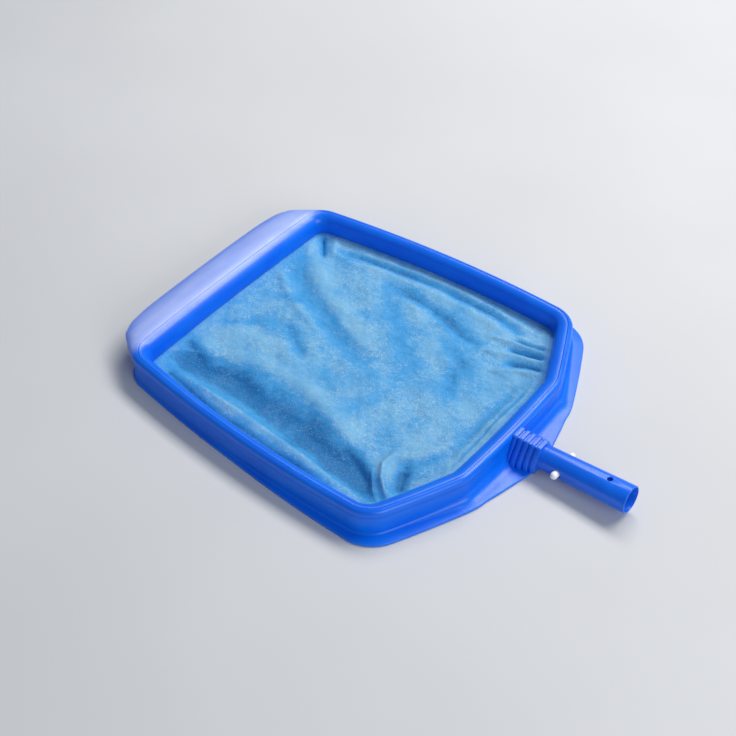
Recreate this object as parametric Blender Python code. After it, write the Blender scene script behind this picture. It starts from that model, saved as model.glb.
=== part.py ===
"""Leaf skimmer net for a pool.

A shallow net bag is clamped between a moulded rim and a clamp ring that meet in a seam along the
crest.  The rim carries a scoop lip at the front and a flat tail at the back.  A ribbed block and a
socket tube sit on the tail, and a V-shaped spring clip inside the tube pushes two lock buttons out
through its sides, which hold the tube in a telescopic pole.

Frame: +X runs from the net to the mouth of the tube, +Z is up, z = 0 is the ground and the origin
is under the middle of the whole length.  Shapes are laid out from the seam's rear middle and every
object is then moved by MIDDLE.  The rim's outline is a chain of arcs that starts at that point.  A
cross-section is given in (offset, height): the offset is measured outwards from the seam.
"""

import math

import bmesh
import bpy
from mathutils import Matrix, Vector

MM = 0.001

# ---------------------------------------------------------------- rim outline, half of it
REAR_HALF_LENGTH = 76.0 * MM
REAR_TURN = math.radians(3.0)
REAR_CORNER_RADIUS = 30.0 * MM
REAR_CORNER_TURN = math.radians(20.0)
CHAMFER_LENGTH = 79.0 * MM
CHAMFER_TURN = math.radians(4.0)
SIDE_CORNER_RADIUS = 30.0 * MM
SIDE_CORNER_TURN = math.radians(61.0)
SIDE_LENGTH = 290.0 * MM
SIDE_TURN = math.radians(12.0)
FRONT_CORNER_RADIUS = 24.0 * MM
FRONT_TURN = math.radians(2.0)
SEGMENT_STEPS = (4, 3, 4, 6, 10, 9, 7)

# ---------------------------------------------------------------- rim cross-section
RIM_HEIGHT = 33.0 * MM
WALL = 2.2 * MM
CREST_RADIUS = 5.0 * MM
WALL_DRAFT = 1.0 * MM
TAIL_THICKNESS = 3.0 * MM
EDGE_BREAK = 0.8 * MM
LIP_REACH = 30.0 * MM
LIP_RISE = 1.1 * MM
LIP_DROP = 4.0 * MM
LIP_THICKNESS = 2.2 * MM
LIP_HOLLOW = 9.0 * MM
LIP_ROOT_DROP = 1.2 * MM
CREST_ROOT_DROP = 4.5 * MM
ROOT_STEP = 0.2 * MM
SHELF_TOP = 9.5 * MM
SHELF_THICKNESS = 2.0 * MM
SHELF_TOE = 2.5 * MM
SEAM_CHAMFER = 0.4 * MM
GAP = 0.3 * MM

# widths along the outline: (segment number + fraction, width)
TAIL_WIDTHS = ((0, 28.0), (0.65, 19.5), (1, 14.5), (2, 13.0), (3, 13.2), (3.6, 12.2), (4, 10.2),
               (4.25, 7.2), (4.55, 3.6), (5, 2.2), (7, 2.2))
LIP_SHARES = ((0, 0.01), (4.6, 0.01), (5.0, 0.03), (5.45, 0.11), (5.8, 0.37), (6.0, 0.70),
              (6.14, 0.92), (6.4, 1.0), (7, 1.0))
CREST_INNER_WIDTHS = ((0, 13.5), (2, 13.0), (3, 12.0), (4, 10.0), (4.5, 9.5), (5, 10.0), (6, 11.5),
                      (7, 11.5))
CREST_DEPTHS = ((0, 10.0), (3, 9.0), (4.5, 9.0), (5.2, 10.0), (6, 14.0), (7, 14.0))
TAIL_FILLETS = ((0, 12.0), (1, 11.0), (2, 7.5), (2.5, 4.0), (3, 2.5), (4, 2.0), (5, 1.2), (7, 1.2))

# ---------------------------------------------------------------- net and its binding
INNER_DRAFT = 1.5 * MM
BINDING_THICKNESS = 1.4 * MM
BINDING_TUCK = 3.0 * MM
BINDING_SHOWN = 7.5 * MM
NET_THICKNESS = 0.9 * MM
NET_SHARES = (1.0, 0.93, 0.865, 0.8, 0.7, 0.48, 0.24)
NET_LOW = 1.7 * MM
NET_TOP = 13.4 * MM
NET_MIDDLE = 9.2 * MM
NET_SAG_REACH = 34.0 * MM
NET_GRIP = 9.0 * MM
FOLD_END_SHARE = 0.55
FOLD_FADE_RUN = 0.15

# ---------------------------------------------------------------- handle
TUBE_RADIUS = 14.25 * MM
TUBE_WALL = 2.0 * MM
TUBE_LENGTH = 97.6 * MM
TUBE_SEGMENTS = 48
TUBE_AXIS_HEIGHT = 20.1 * MM
BLOCK_START = 3.0 * MM
BLOCK_ROOT = 2.0 * MM
RIB_COUNT = 4
RIB_WIDTH = 4.6 * MM
GROOVE_WIDTH = 2.0 * MM
GROOVE_DEPTH = 1.8 * MM
COLLAR_WIDTH = 5.0 * MM
BLOCK_DROP = 2.6 * MM
BLOCK_TOP_HALF = 9.6 * MM
BLOCK_BASE_HALF = 24.0 * MM
BLOCK_FRONT_HALF = 15.2 * MM
BLOCK_REAR_HALF = 22.5 * MM
BLOCK_CORNER = 3.0 * MM
TUBE_ROOT = 1.2 * MM
BORE_FLOOR = 12.0 * MM
THROUGH_HOLE_RADIUS = 3.0 * MM
THROUGH_HOLE_FROM_MOUTH = 24.0 * MM

# ---------------------------------------------------------------- spring clip
BUTTON_FROM_BLOCK = 22.8 * MM
BUTTON_RADIUS = 3.8 * MM
BUTTON_PROUD = 7.2 * MM
SHOULDER_RADIUS = 5.6 * MM
SHOULDER_THICKNESS = 1.2 * MM
SEAT_PLAY = 0.39 * MM
HOLE_PLAY = 1.1 * MM
HOLE_SHIFT = 0.2 * MM
STRIP_THICKNESS = 0.8 * MM
STRIP_WIDTH = 8.0 * MM
BOW_RADIUS = 2.5 * MM
LEG_BUTTON_AT = 42.0 * MM
LEG_END = 5.0 * MM
LEG_BEND = math.radians(-9.4)

# ---------------------------------------------------------------- sizes that follow from these
CREST_TO_FLOOR = RIM_HEIGHT - CREST_RADIUS
RING_FOOT = SHELF_TOP + BINDING_THICKNESS + 2 * GAP
BLOCK_END = BLOCK_START + BLOCK_ROOT + RIB_COUNT * (RIB_WIDTH + GROOVE_WIDTH) + COLLAR_WIDTH
MOUTH = BLOCK_END + TUBE_LENGTH
BORE_RADIUS = TUBE_RADIUS - TUBE_WALL
POCKET_MOUTH_RADIUS = BORE_RADIUS - BLOCK_DROP
POCKET_RADIUS = POCKET_MOUTH_RADIUS - GROOVE_DEPTH
BUTTON_X = BLOCK_END + BUTTON_FROM_BLOCK
LEG_LENGTH = LEG_BUTTON_AT + LEG_END
BOW_X = BUTTON_X - LEG_BUTTON_AT
BUTTON_SEAT_Y = (math.sqrt(BORE_RADIUS ** 2 - SHOULDER_RADIUS ** 2) - SEAT_PLAY
                 - SHOULDER_THICKNESS)
LEG_MEAN_ANGLE = math.asin((BUTTON_SEAT_Y - STRIP_THICKNESS / 2 - GAP - BOW_RADIUS) / LEG_BUTTON_AT)
LEG_START_ANGLE = LEG_MEAN_ANGLE - LEG_BEND * LEG_BUTTON_AT / LEG_LENGTH / 2
LIP_SPAN = CREST_RADIUS + LIP_REACH
LIP_PITCH = 2 * (LIP_RISE + math.sqrt(LIP_RISE * (LIP_RISE + LIP_DROP))) / LIP_SPAN
LIP_EDGE_BREAK = 0.1 * MM
BEYOND = 20.0 * MM
NO_PIVOT = Vector((0, 0, 0))


def clear_scene():
    """Remove whatever the file holds."""
    for thing in list(bpy.data.objects):
        bpy.data.objects.remove(thing, do_unlink=True)


def make_material(name, colour, roughness, metallic=0.0):
    """A plain principled material."""
    made = bpy.data.materials.new(name)
    made.use_nodes = True
    shader = made.node_tree.nodes["Principled BSDF"]
    shader.inputs["Base Color"].default_value = (*colour, 1.0)
    shader.inputs["Roughness"].default_value = roughness
    shader.inputs["Metallic"].default_value = metallic
    return made


def add_object(name, mesh_maker, material=None, smooth_angle=35.0, pivot=NO_PIVOT):
    """Make an object from a bmesh that mesh_maker fills; its own origin is at the pivot."""
    mesh = bpy.data.meshes.new(name)
    bm = bmesh.new()
    mesh_maker(bm)
    bmesh.ops.recalc_face_normals(bm, faces=bm.faces)
    bmesh.ops.translate(bm, verts=bm.verts, vec=-pivot)
    bm.to_mesh(mesh)
    bm.free()
    mesh.shade_smooth()
    mesh.set_sharp_from_angle(angle=math.radians(smooth_angle))
    thing = bpy.data.objects.new(name, mesh)
    thing.location = pivot - MIDDLE
    bpy.context.scene.collection.objects.link(thing)
    if material:
        mesh.materials.append(material)
    return thing


def make_guide(name, mesh_maker):
    """A cutter or a joining body, which isn't a piece of its own."""
    guide = add_object(name, mesh_maker)
    guide.hide_render = True
    guide.display_type = "WIRE"
    return guide


def combine(thing, guide, operation):
    """Add an exact boolean to an object."""
    modifier = thing.modifiers.new(guide.name, "BOOLEAN")
    modifier.operation = operation
    modifier.solver = "EXACT"
    modifier.object = guide


# ---------------------------------------------------------------- outline
def arc_stations(start, heading, length, turn, steps, segment):
    """Stations along one arc, without its first point: (x, y, heading, place)."""
    x, y = start
    stations = []
    for step in range(1, steps + 1):
        share = step / steps
        middle = heading + turn * share / 2
        chord = length * share
        if turn:
            chord = 2 * (length / turn) * math.sin(turn * share / 2)
        stations.append((x - chord * math.sin(middle), y + chord * math.cos(middle),
                         heading + turn * share, segment + share))
    return stations


def rim_outline():
    """The seam's closed outline as (point, outward normal, place), from the rear middle."""
    bends = (
        (REAR_HALF_LENGTH, REAR_TURN),
        (REAR_CORNER_RADIUS * REAR_CORNER_TURN, REAR_CORNER_TURN),
        (CHAMFER_LENGTH, CHAMFER_TURN),
        (SIDE_CORNER_RADIUS * SIDE_CORNER_TURN, SIDE_CORNER_TURN),
        (SIDE_LENGTH, SIDE_TURN),
    )
    stations = [(0.0, 0.0, 0.0, 0.0)]
    for segment, (length, turn) in enumerate(bends):
        x, y, heading, _ = stations[-1]
        stations += arc_stations((x, y), heading, length, turn, SEGMENT_STEPS[segment], segment)
    x, y, heading, _ = stations[-1]
    corner_turn = math.pi - FRONT_TURN - heading
    stations += arc_stations((x, y), heading, FRONT_CORNER_RADIUS * corner_turn, corner_turn,
                             SEGMENT_STEPS[5], 5)
    x, y, heading, _ = stations[-1]
    front_half_length = y * FRONT_TURN / math.sin(FRONT_TURN)
    stations += arc_stations((x, y), heading, front_half_length, FRONT_TURN, SEGMENT_STEPS[6], 6)
    half = [(Vector((x, y, 0)), Vector((math.cos(heading), math.sin(heading), 0)), place)
            for x, y, heading, place in stations]
    half[-1][0].y = 0.0
    flip = Vector((1, -1, 1))
    mirrored = [(point * flip, normal * flip, place) for point, normal, place in half[-2:0:-1]]
    return half + mirrored


def along(place, knots):
    """A smooth width through the knots: cubic, with slopes taken from the neighbours."""
    for index in range(len(knots) - 1):
        if place <= knots[index + 1][0]:
            break
    x0, y0 = knots[index]
    x1, y1 = knots[index + 1]
    span = x1 - x0
    chord = (y1 - y0) / span
    slopes = []
    for neighbour, side in ((index - 1, 0), (index + 2, 1)):
        if not 0 <= neighbour < len(knots):
            slopes.append(0.0)
            continue
        xn, yn = knots[neighbour]
        other = (y0 - yn) / (x0 - xn) if side == 0 else (yn - y1) / (xn - x1)
        steep = 2 * chord * other / (chord + other) if chord * other > 0 else 0.0
        slopes.append(steep)
    share = (place - x0) / span
    bend = share * share * (3 - 2 * share)
    return (y0 + (y1 - y0) * bend
            + span * slopes[0] * share * (1 - share) ** 2
            - span * slopes[1] * share * share * (1 - share))


def loft_ring(profile):
    """A mesh maker: the closed profile of each station is swept round the whole outline."""
    def fill(bm):
        rings = []
        for point, normal, place in OUTLINE:
            rings.append([bm.verts.new(point + normal * offset + Vector((0, 0, height)))
                          for offset, height in profile(place)])
        for index, ring in enumerate(rings):
            following = rings[(index + 1) % len(rings)]
            for corner in range(len(ring)):
                after = (corner + 1) % len(ring)
                bm.faces.new((ring[corner], following[corner], following[after], ring[after]))
    return fill


# ---------------------------------------------------------------- rim sections
def lip_height(offset):
    """Height of the lip's top: it rises from the seam, then falls to its edge."""
    return RIM_HEIGHT + LIP_PITCH * offset * (1 - LIP_PITCH * offset / (4 * LIP_RISE))


def crest_curve(place):
    """Top of the rim from the seam outwards: a quarter round that becomes the scoop lip."""
    share = along(place, LIP_SHARES)
    points = []
    steps = 5
    for step in range(1, steps + 1):
        part = step / steps
        angle = part * math.pi / 2
        round_offset = CREST_RADIUS * math.sin(angle)
        round_height = RIM_HEIGHT - CREST_RADIUS * (1 - math.cos(angle))
        lip_offset = LIP_SPAN * part
        points.append((round_offset + (lip_offset - round_offset) * share,
                       round_height + (lip_height(lip_offset) - round_height) * share))
    return points, share


def foot_curve(place):
    """Outer wall's foot, its hollow fillet and the tail's upper face."""
    wall = CREST_RADIUS + WALL_DRAFT
    fillet = along(place, TAIL_FILLETS) * MM
    tail = along(place, TAIL_WIDTHS) * MM
    points = []
    steps = 4
    for step in range(steps + 1):
        angle = step / steps * math.pi / 2
        points.append((wall + fillet * (1 - math.cos(angle)),
                       TAIL_THICKNESS + fillet * (1 - math.sin(angle))))
    return points, wall + tail


def outer_section(place):
    """Cross-section of the rim with its lip, wall, tail and inner shelf."""
    crest, share = crest_curve(place)
    foot, tail_edge = foot_curve(place)
    inner = along(place, CREST_INNER_WIDTHS) * MM
    tip_offset, tip_height = crest[-1]
    lip_root = RIM_HEIGHT - LIP_THICKNESS - LIP_ROOT_DROP
    wall_root = CREST_TO_FLOOR - CREST_ROOT_DROP
    root_height = wall_root + (lip_root - wall_root) * share
    hollow_height = lip_height(CREST_RADIUS + LIP_HOLLOW) - LIP_THICKNESS
    under_height = (tip_height - LIP_THICKNESS + root_height) / 2
    half_gap = GAP / 2
    shelf_toe = -(inner + INNER_DRAFT + SHELF_TOE)
    inside = CREST_RADIUS - WALL
    section = [
        (half_gap, RIM_HEIGHT - WALL),
        (half_gap, RIM_HEIGHT - SEAM_CHAMFER),
        (half_gap + SEAM_CHAMFER, RIM_HEIGHT),
    ]
    section += crest
    section += [
        (tip_offset + LIP_EDGE_BREAK, tip_height - LIP_THICKNESS),
        (CREST_RADIUS + ROOT_STEP * (1 - share) + LIP_HOLLOW * share,
         under_height + (hollow_height - under_height) * share),
        (CREST_RADIUS + ROOT_STEP, root_height),
    ]
    section += foot
    section += [
        (tail_edge - EDGE_BREAK / 2, TAIL_THICKNESS),
        (tail_edge, TAIL_THICKNESS - EDGE_BREAK),
        (tail_edge, 0.0),
        (inside + WALL_DRAFT, 0.0),
        (inside + WALL_DRAFT, SHELF_TOP - SHELF_THICKNESS),
        (shelf_toe, SHELF_TOP - SHELF_THICKNESS),
        (shelf_toe, SHELF_TOP),
        (inside + WALL_DRAFT, SHELF_TOP),
        (inside, CREST_TO_FLOOR),
        (inside * 0.7, RIM_HEIGHT - WALL - inside * 0.3),
    ]
    return section


def ring_section(place):
    """Cross-section of the clamp ring: the crest's inner half, the inner wall and its foot."""
    inner = along(place, CREST_INNER_WIDTHS) * MM
    depth = along(place, CREST_DEPTHS) * MM
    lean = math.atan(LIP_PITCH) * along(place, LIP_SHARES)
    half_gap = GAP / 2
    section = [
        (-half_gap, RIM_HEIGHT - WALL),
        (-half_gap, RIM_HEIGHT - SEAM_CHAMFER),
        (-half_gap - SEAM_CHAMFER, RIM_HEIGHT),
    ]
    shoulder = []
    steps = 5
    for step in range(1, steps + 1):
        angle = lean + (math.pi / 2 - lean) * step / steps
        run = (math.sin(angle) - math.sin(lean)) / (1 - math.sin(lean))
        fall = 1 - math.cos(angle) / math.cos(lean)
        section.append((-inner * run, RIM_HEIGHT - depth * fall))
        shoulder.append((-inner * run + WALL * run, RIM_HEIGHT - depth * fall - WALL * (1 - fall)))
    foot = -(inner + INNER_DRAFT)
    section += [
        (foot, RING_FOOT),
        (foot + WALL, RING_FOOT),
    ]
    return section + shoulder[:0:-1]


def binding_section(place):
    """Cross-section of the doubled edge of the net, clamped between ring and shelf."""
    inner = along(place, CREST_INNER_WIDTHS) * MM
    low = SHELF_TOP + GAP
    high = low + BINDING_THICKNESS
    tucked = -(inner + INNER_DRAFT - WALL - BINDING_TUCK)
    shown = -(inner + INNER_DRAFT + BINDING_SHOWN)
    return [(tucked, low), (tucked, high), (shown, high), (shown, low)]


# ---------------------------------------------------------------- net
# Main folds of the slack net, in mm: (points, height on the line, width, sharpness)
NET_FOLDS = (
    (((-356, -114), (-274, -114), (-208, -123), (-147, -132), (-72, -133)), -9.0, 12.5, 2.2),
    (((-340, -92), (-280, -80), (-234, -78), (-179, -86), (-92, -110)), 3.2, 17.0, 2.0),
    (((-346, -129), (-284, -133), (-201, -141), (-76, -153)), 1.9, 6.5, 1.6),
    (((-358, 97), (-309, 52), (-273, 32), (-211, 58)), -3.2, 12.5, 3.2),
    (((-296, -8), (-243, -21)), -3.6, 9.0, 1.7),
    (((-330, 100), (-304, 76), (-246, 72)), 1.6, 11.0, 2.0),
    (((-300, 118), (-208, 134), (-84, 128)), 2.2, 6.0, 1.6),
    (((-240, 108), (-158, 119), (-98, 112)), -3.6, 8.0, 1.8),
    (((-112, 66), (-90, 33)), -3.0, 12.0, 2.0),
    (((-98, 93), (-38, 113)), 3.0, 6.0, 1.6),
    (((-27, 84), (-26, 14), (-27, -84)), 1.7, 4.0, 1.5),
    (((-42, 62), (-41, 14), (-40, -50)), -2.2, 5.5, 1.6),
    (((-46, -134), (-72, -115), (-76, -88)), 6.4, 5.5, 1.5),
    (((-50, -118), (-62, -92)), -6.5, 7.5, 1.8),
    (((-76, -92), (-51, -44)), 2.8, 6.5, 1.6),
    (((-72, -138), (-128, -104)), -4.0, 7.0, 1.7),
)


def fold_shape(x, y, points, width, sharpness):
    """A fold's cross-section at a point: 1 on its line, fading beside it and towards its ends."""
    spot = Vector((x, y))
    nearest, place, run = None, 0.0, 0.0
    for start, end in zip(points, points[1:]):
        start, step = Vector(start), Vector(end) - Vector(start)
        share = min(1.0, max(0.0, (spot - start).dot(step) / step.length_squared))
        distance = (spot - start - step * share).length
        if nearest is None or distance < nearest:
            nearest, place = distance, run + share * step.length
        run += step.length
    fade = min(1.0, min(place, run - place) / (run * FOLD_FADE_RUN))
    ends = FOLD_END_SHARE + (1 - FOLD_END_SHARE) * fade
    return math.exp(-(nearest / width) ** sharpness) * ends


def net_height(x, y, inward):
    """Height of the net's middle over the ground; inward is measured from its outer edge."""
    slack = sum(height * fold_shape(x / MM, y / MM, points, width, sharpness)
                for points, height, width, sharpness in NET_FOLDS) * MM
    edge = SHELF_TOP + GAP + BINDING_THICKNESS / 2
    sag = NET_MIDDLE + (edge - NET_MIDDLE) * math.exp(-(inward / NET_SAG_REACH) ** 2)
    return min(NET_TOP, max(NET_LOW, sag + slack * min(1.0, inward / NET_GRIP)))


def fill_net(bm):
    """The net as a thin closed cloth with its main folds."""
    boundary = []
    for point, normal, place in OUTLINE:
        inner = along(place, CREST_INNER_WIDTHS) * MM
        boundary.append(point - normal * (inner + INNER_DRAFT + BINDING_SHOWN + GAP))
    middle = Vector(((boundary[0].x + boundary[len(boundary) // 2].x) / 2, 0, 0))
    sheets = []
    for side in (1, -1):
        lift = side * NET_THICKNESS / 2
        rings = []
        for share in NET_SHARES:
            row = []
            for point in boundary:
                spot = middle + (point - middle) * share
                height = net_height(spot.x, spot.y, (point - spot).length)
                row.append(bm.verts.new((spot.x, spot.y, height + lift)))
            rings.append(row)
        height = net_height(middle.x, middle.y, middle.length)
        sheets.append((rings, bm.verts.new((middle.x, middle.y, height + lift))))
    count = len(boundary)
    for rings, centre in sheets:
        for outer, inner in zip(rings, rings[1:]):
            for index in range(count):
                after = (index + 1) % count
                bm.faces.new((outer[index], outer[after], inner[after], inner[index]))
        for index in range(count):
            bm.faces.new((rings[-1][index], rings[-1][(index + 1) % count], centre))
    top, bottom = sheets[0][0][0], sheets[1][0][0]
    for index in range(count):
        after = (index + 1) % count
        bm.faces.new((top[index], top[after], bottom[after], bottom[index]))


# ---------------------------------------------------------------- handle
def block_outline(x, inset):
    """Half of the block's section at x as (y, z), from the foot to the top, drawn in by the inset."""
    top = TUBE_AXIS_HEIGHT + TUBE_RADIUS - BLOCK_DROP - inset
    slope = math.atan2(BLOCK_BASE_HALF - BLOCK_TOP_HALF, top + inset)
    share = (x - BLOCK_START) / (BLOCK_END - BLOCK_START)
    limit = BLOCK_REAR_HALF + (BLOCK_FRONT_HALF - BLOCK_REAR_HALF) * share - inset
    side = BLOCK_BASE_HALF - inset / math.cos(slope)
    bend_height = (side - limit) / math.tan(slope)
    radius = BLOCK_CORNER - inset / 2
    top_half = side - top * math.tan(slope)
    centre = Vector((top_half - radius * math.tan((math.pi / 2 - slope) / 2), top - radius))
    half = [(limit, 0.0), (limit, bend_height)]
    steps = 4
    for step in range(steps + 1):
        angle = slope + (math.pi / 2 - slope) * step / steps
        half.append((centre.x + radius * math.cos(angle), centre.y + radius * math.sin(angle)))
    return half


def fill_block(bm):
    """The ribbed block: full sections at the ribs, drawn-in ones in the grooves."""
    x = BLOCK_START + BLOCK_ROOT
    stops = [(BLOCK_START, 0.0)]
    for _ in range(RIB_COUNT):
        x += RIB_WIDTH
        stops += [(x, 0.0), (x, GROOVE_DEPTH), (x + GROOVE_WIDTH, GROOVE_DEPTH), (x + GROOVE_WIDTH, 0.0)]
        x += GROOVE_WIDTH
    stops.append((x + COLLAR_WIDTH, 0.0))
    rings = []
    for x, inset in stops:
        half = block_outline(x, inset)
        whole = half + [(-y, z) for y, z in reversed(half)]
        rings.append([bm.verts.new((x, y, z)) for y, z in whole])
    for ring, following in zip(rings, rings[1:]):
        for index in range(len(ring)):
            after = (index + 1) % len(ring)
            bm.faces.new((ring[index], following[index], following[after], ring[after]))
    bm.faces.new(rings[0])
    bm.faces.new(rings[-1])


def lathe(profile, origin, direction, segments):
    """A mesh maker: revolve (distance along, radius) points; both ends are flat."""
    turn = Vector((0, 0, 1)).rotation_difference(Vector(direction)).to_matrix().to_4x4()
    place = Matrix.Translation(Vector(origin)) @ turn

    def fill(bm):
        rows = []
        for distance, radius in profile:
            row = []
            for step in range(segments):
                angle = 2 * math.pi * (step + 0.5) / segments
                spot = Vector((radius * math.cos(angle), radius * math.sin(angle), distance))
                row.append(bm.verts.new(place @ spot))
            rows.append(row)
        for row, following in zip(rows, rows[1:]):
            for step in range(segments):
                after = (step + 1) % segments
                bm.faces.new((row[step], row[after], following[after], following[step]))
        bm.faces.new(rows[0])
        bm.faces.new(rows[-1])
    return fill


def fill_rim_clearance(bm):
    """What the block must stay clear of: the rear of the rim, grown by the gap."""
    rings = []
    count = len(OUTLINE)
    reach = SEGMENT_STEPS[0]
    for index in range(-reach, reach + 1):
        point, normal, place = OUTLINE[index % count]
        crest, _ = crest_curve(place)
        foot, tail_edge = foot_curve(place)
        section = [(-BEYOND, -BEYOND), (-BEYOND, RIM_HEIGHT + GAP)]
        section += [(offset + GAP, height + GAP) for offset, height in crest + foot]
        section += [(tail_edge + BEYOND, TAIL_THICKNESS + GAP), (tail_edge + BEYOND, -BEYOND)]
        rings.append([bm.verts.new(point + normal * offset + Vector((0, 0, height)))
                      for offset, height in section])
    for ring, following in zip(rings, rings[1:]):
        for corner in range(len(ring)):
            after = (corner + 1) % len(ring)
            bm.faces.new((ring[corner], following[corner], following[after], ring[after]))
    bm.faces.new(rings[0])
    bm.faces.new(rings[-1])


def make_handle(material):
    """Ribbed block and socket tube in one moulding; the bore narrows to a pocket in the block."""
    handle = add_object("handle_socket", fill_block, material)
    axis = (0, 0, TUBE_AXIS_HEIGHT)
    rim = EDGE_BREAK * 0.7
    root = BLOCK_END - TUBE_ROOT
    tube = make_guide("guide_tube", lathe(
        ((root, TUBE_RADIUS), (MOUTH - rim, TUBE_RADIUS), (MOUTH, TUBE_RADIUS - rim)),
        axis, (1, 0, 0), TUBE_SEGMENTS))
    bore = make_guide("guide_bore", lathe(
        ((BORE_FLOOR, POCKET_RADIUS), (BLOCK_END - COLLAR_WIDTH, POCKET_RADIUS),
         (BLOCK_END - TUBE_ROOT, POCKET_MOUTH_RADIUS), (BLOCK_END + TUBE_WALL, BORE_RADIUS),
         (MOUTH - rim, BORE_RADIUS), (MOUTH + rim, BORE_RADIUS + rim)),
        axis, (1, 0, 0), TUBE_SEGMENTS))
    combine(handle, tube, "UNION")
    combine(handle, bore, "DIFFERENCE")
    through = 2 * TUBE_RADIUS
    hole_x = MOUTH - THROUGH_HOLE_FROM_MOUTH
    combine(handle, make_guide("guide_through_hole", lathe(
        ((-through, THROUGH_HOLE_RADIUS), (through, THROUGH_HOLE_RADIUS)),
        (hole_x, 0, TUBE_AXIS_HEIGHT), (0, 0, 1), 20)), "DIFFERENCE")
    hole_radius = BUTTON_RADIUS + HOLE_PLAY
    combine(handle, make_guide("guide_button_holes", lathe(
        ((-through, hole_radius), (through, hole_radius)),
        (BUTTON_X + HOLE_SHIFT, 0, TUBE_AXIS_HEIGHT), (0, 1, 0), 24)), "DIFFERENCE")
    combine(handle, make_guide("guide_rim_clearance", fill_rim_clearance), "DIFFERENCE")
    return handle


# ---------------------------------------------------------------- spring clip
def strip(points, side):
    """A mesh maker: a flat spring strip along (x, y) points, its width across the tube's height."""
    low = TUBE_AXIS_HEIGHT - STRIP_WIDTH / 2
    high = TUBE_AXIS_HEIGHT + STRIP_WIDTH / 2

    def fill(bm):
        rows = []
        for index, point in enumerate(points):
            before = Vector(points[max(index - 1, 0)])
            after = Vector(points[min(index + 1, len(points) - 1)])
            along_strip = (after - before).normalized()
            across = Vector((-along_strip.y, along_strip.x)) * STRIP_THICKNESS / 2
            row = []
            for sign, height in ((1, low), (1, high), (-1, high), (-1, low)):
                spot = Vector(point) + across * sign
                row.append(bm.verts.new((spot.x, spot.y * side, height)))
            rows.append(row)
        for row, following in zip(rows, rows[1:]):
            for corner in range(4):
                after = (corner + 1) % 4
                bm.faces.new((row[corner], row[after], following[after], following[corner]))
        bm.faces.new(rows[0])
        bm.faces.new(rows[-1])
    return fill


def bow_points():
    """Centre line of the clip's bend: a half circle."""
    steps = 12
    return [(BOW_X - BOW_RADIUS * math.sin(math.pi * step / steps),
             BOW_RADIUS * math.cos(math.pi * step / steps)) for step in range(steps + 1)]


def leg_point(distance):
    """A point of the leg's centre line and its direction there; the leg is a long arc."""
    radius = LEG_LENGTH / LEG_BEND
    angle = LEG_START_ANGLE + LEG_BEND * distance / LEG_LENGTH
    x = BOW_X + GAP + radius * (math.sin(angle) - math.sin(LEG_START_ANGLE))
    y = BOW_RADIUS - radius * (math.cos(angle) - math.cos(LEG_START_ANGLE))
    return x, y, angle


def make_clip(steel, plastic):
    """The V-shaped spring with its two lock buttons; the legs turn where they meet the bend."""
    add_object("clip_bow", strip(bow_points(), 1), steel)
    steps = 10
    legs = [leg_point(LEG_LENGTH * step / steps)[:2] for step in range(steps + 1)]
    x, y, angle = leg_point(LEG_BUTTON_AT)
    for name, side in (("left", -1), ("right", 1)):
        pivot = Vector((BOW_X, BOW_RADIUS * side, TUBE_AXIS_HEIGHT))
        add_object(f"clip_leg_{name}", strip(legs, side), steel, pivot=pivot)
        outward = Vector((-math.sin(angle), math.cos(angle) * side, 0))
        origin = Vector((x, y * side, TUBE_AXIS_HEIGHT)) + outward * (STRIP_THICKNESS / 2 + GAP)
        length = TUBE_RADIUS + BUTTON_PROUD - BUTTON_SEAT_Y
        profile = [(0, SHOULDER_RADIUS), (SHOULDER_THICKNESS, SHOULDER_RADIUS),
                   (SHOULDER_THICKNESS, BUTTON_RADIUS)]
        dome_steps = 6
        for step in range(dome_steps):
            turn = step / dome_steps * math.pi / 2
            profile.append((length - BUTTON_RADIUS * (1 - math.sin(turn)),
                            BUTTON_RADIUS * math.cos(turn)))
        add_object(f"lock_button_{name}", lathe(profile, origin, outward, 24), plastic, pivot=pivot)


# ---------------------------------------------------------------- assembly
OUTLINE = rim_outline()
LIP_TIP = OUTLINE[len(OUTLINE) // 2][0].x - LIP_SPAN - LIP_EDGE_BREAK
MIDDLE = Vector(((LIP_TIP + MOUTH) / 2, 0, 0))


def main():
    """Build every piece."""
    clear_scene()
    blue = make_material("blue_plastic", (0.02, 0.13, 0.72), 0.38)
    ring_blue = make_material("ring_plastic", (0.02, 0.13, 0.72), 0.38)
    handle_blue = make_material("handle_plastic", (0.02, 0.12, 0.66), 0.40)
    mesh_blue = make_material("net_mesh", (0.10, 0.38, 0.72), 0.85)
    tape = make_material("binding_tape", (0.16, 0.46, 0.78), 0.80)
    steel = make_material("spring_steel", (0.62, 0.62, 0.60), 0.28, 1.0)
    white = make_material("button_plastic", (0.90, 0.90, 0.88), 0.35)
    add_object("outer_frame", loft_ring(outer_section), blue)
    add_object("clamp_ring", loft_ring(ring_section), ring_blue)
    add_object("net_binding", loft_ring(binding_section), tape)
    add_object("net_bag", fill_net, mesh_blue, smooth_angle=80.0)
    make_handle(handle_blue)
    make_clip(steel, white)


main()
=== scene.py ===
"""Looks of the leaf skimmer net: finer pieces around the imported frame, materials, light and camera.

Shapes are laid out as the frame's source lays them out, from the seam's rear middle, and every
piece is moved by MIDDLE.  A cross-section is given in (offset, height): the offset is measured
outwards from the seam.  Lengths are in metres.
"""

import math

import bmesh
import bpy
import numpy as np
from mathutils import Matrix, Vector


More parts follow.
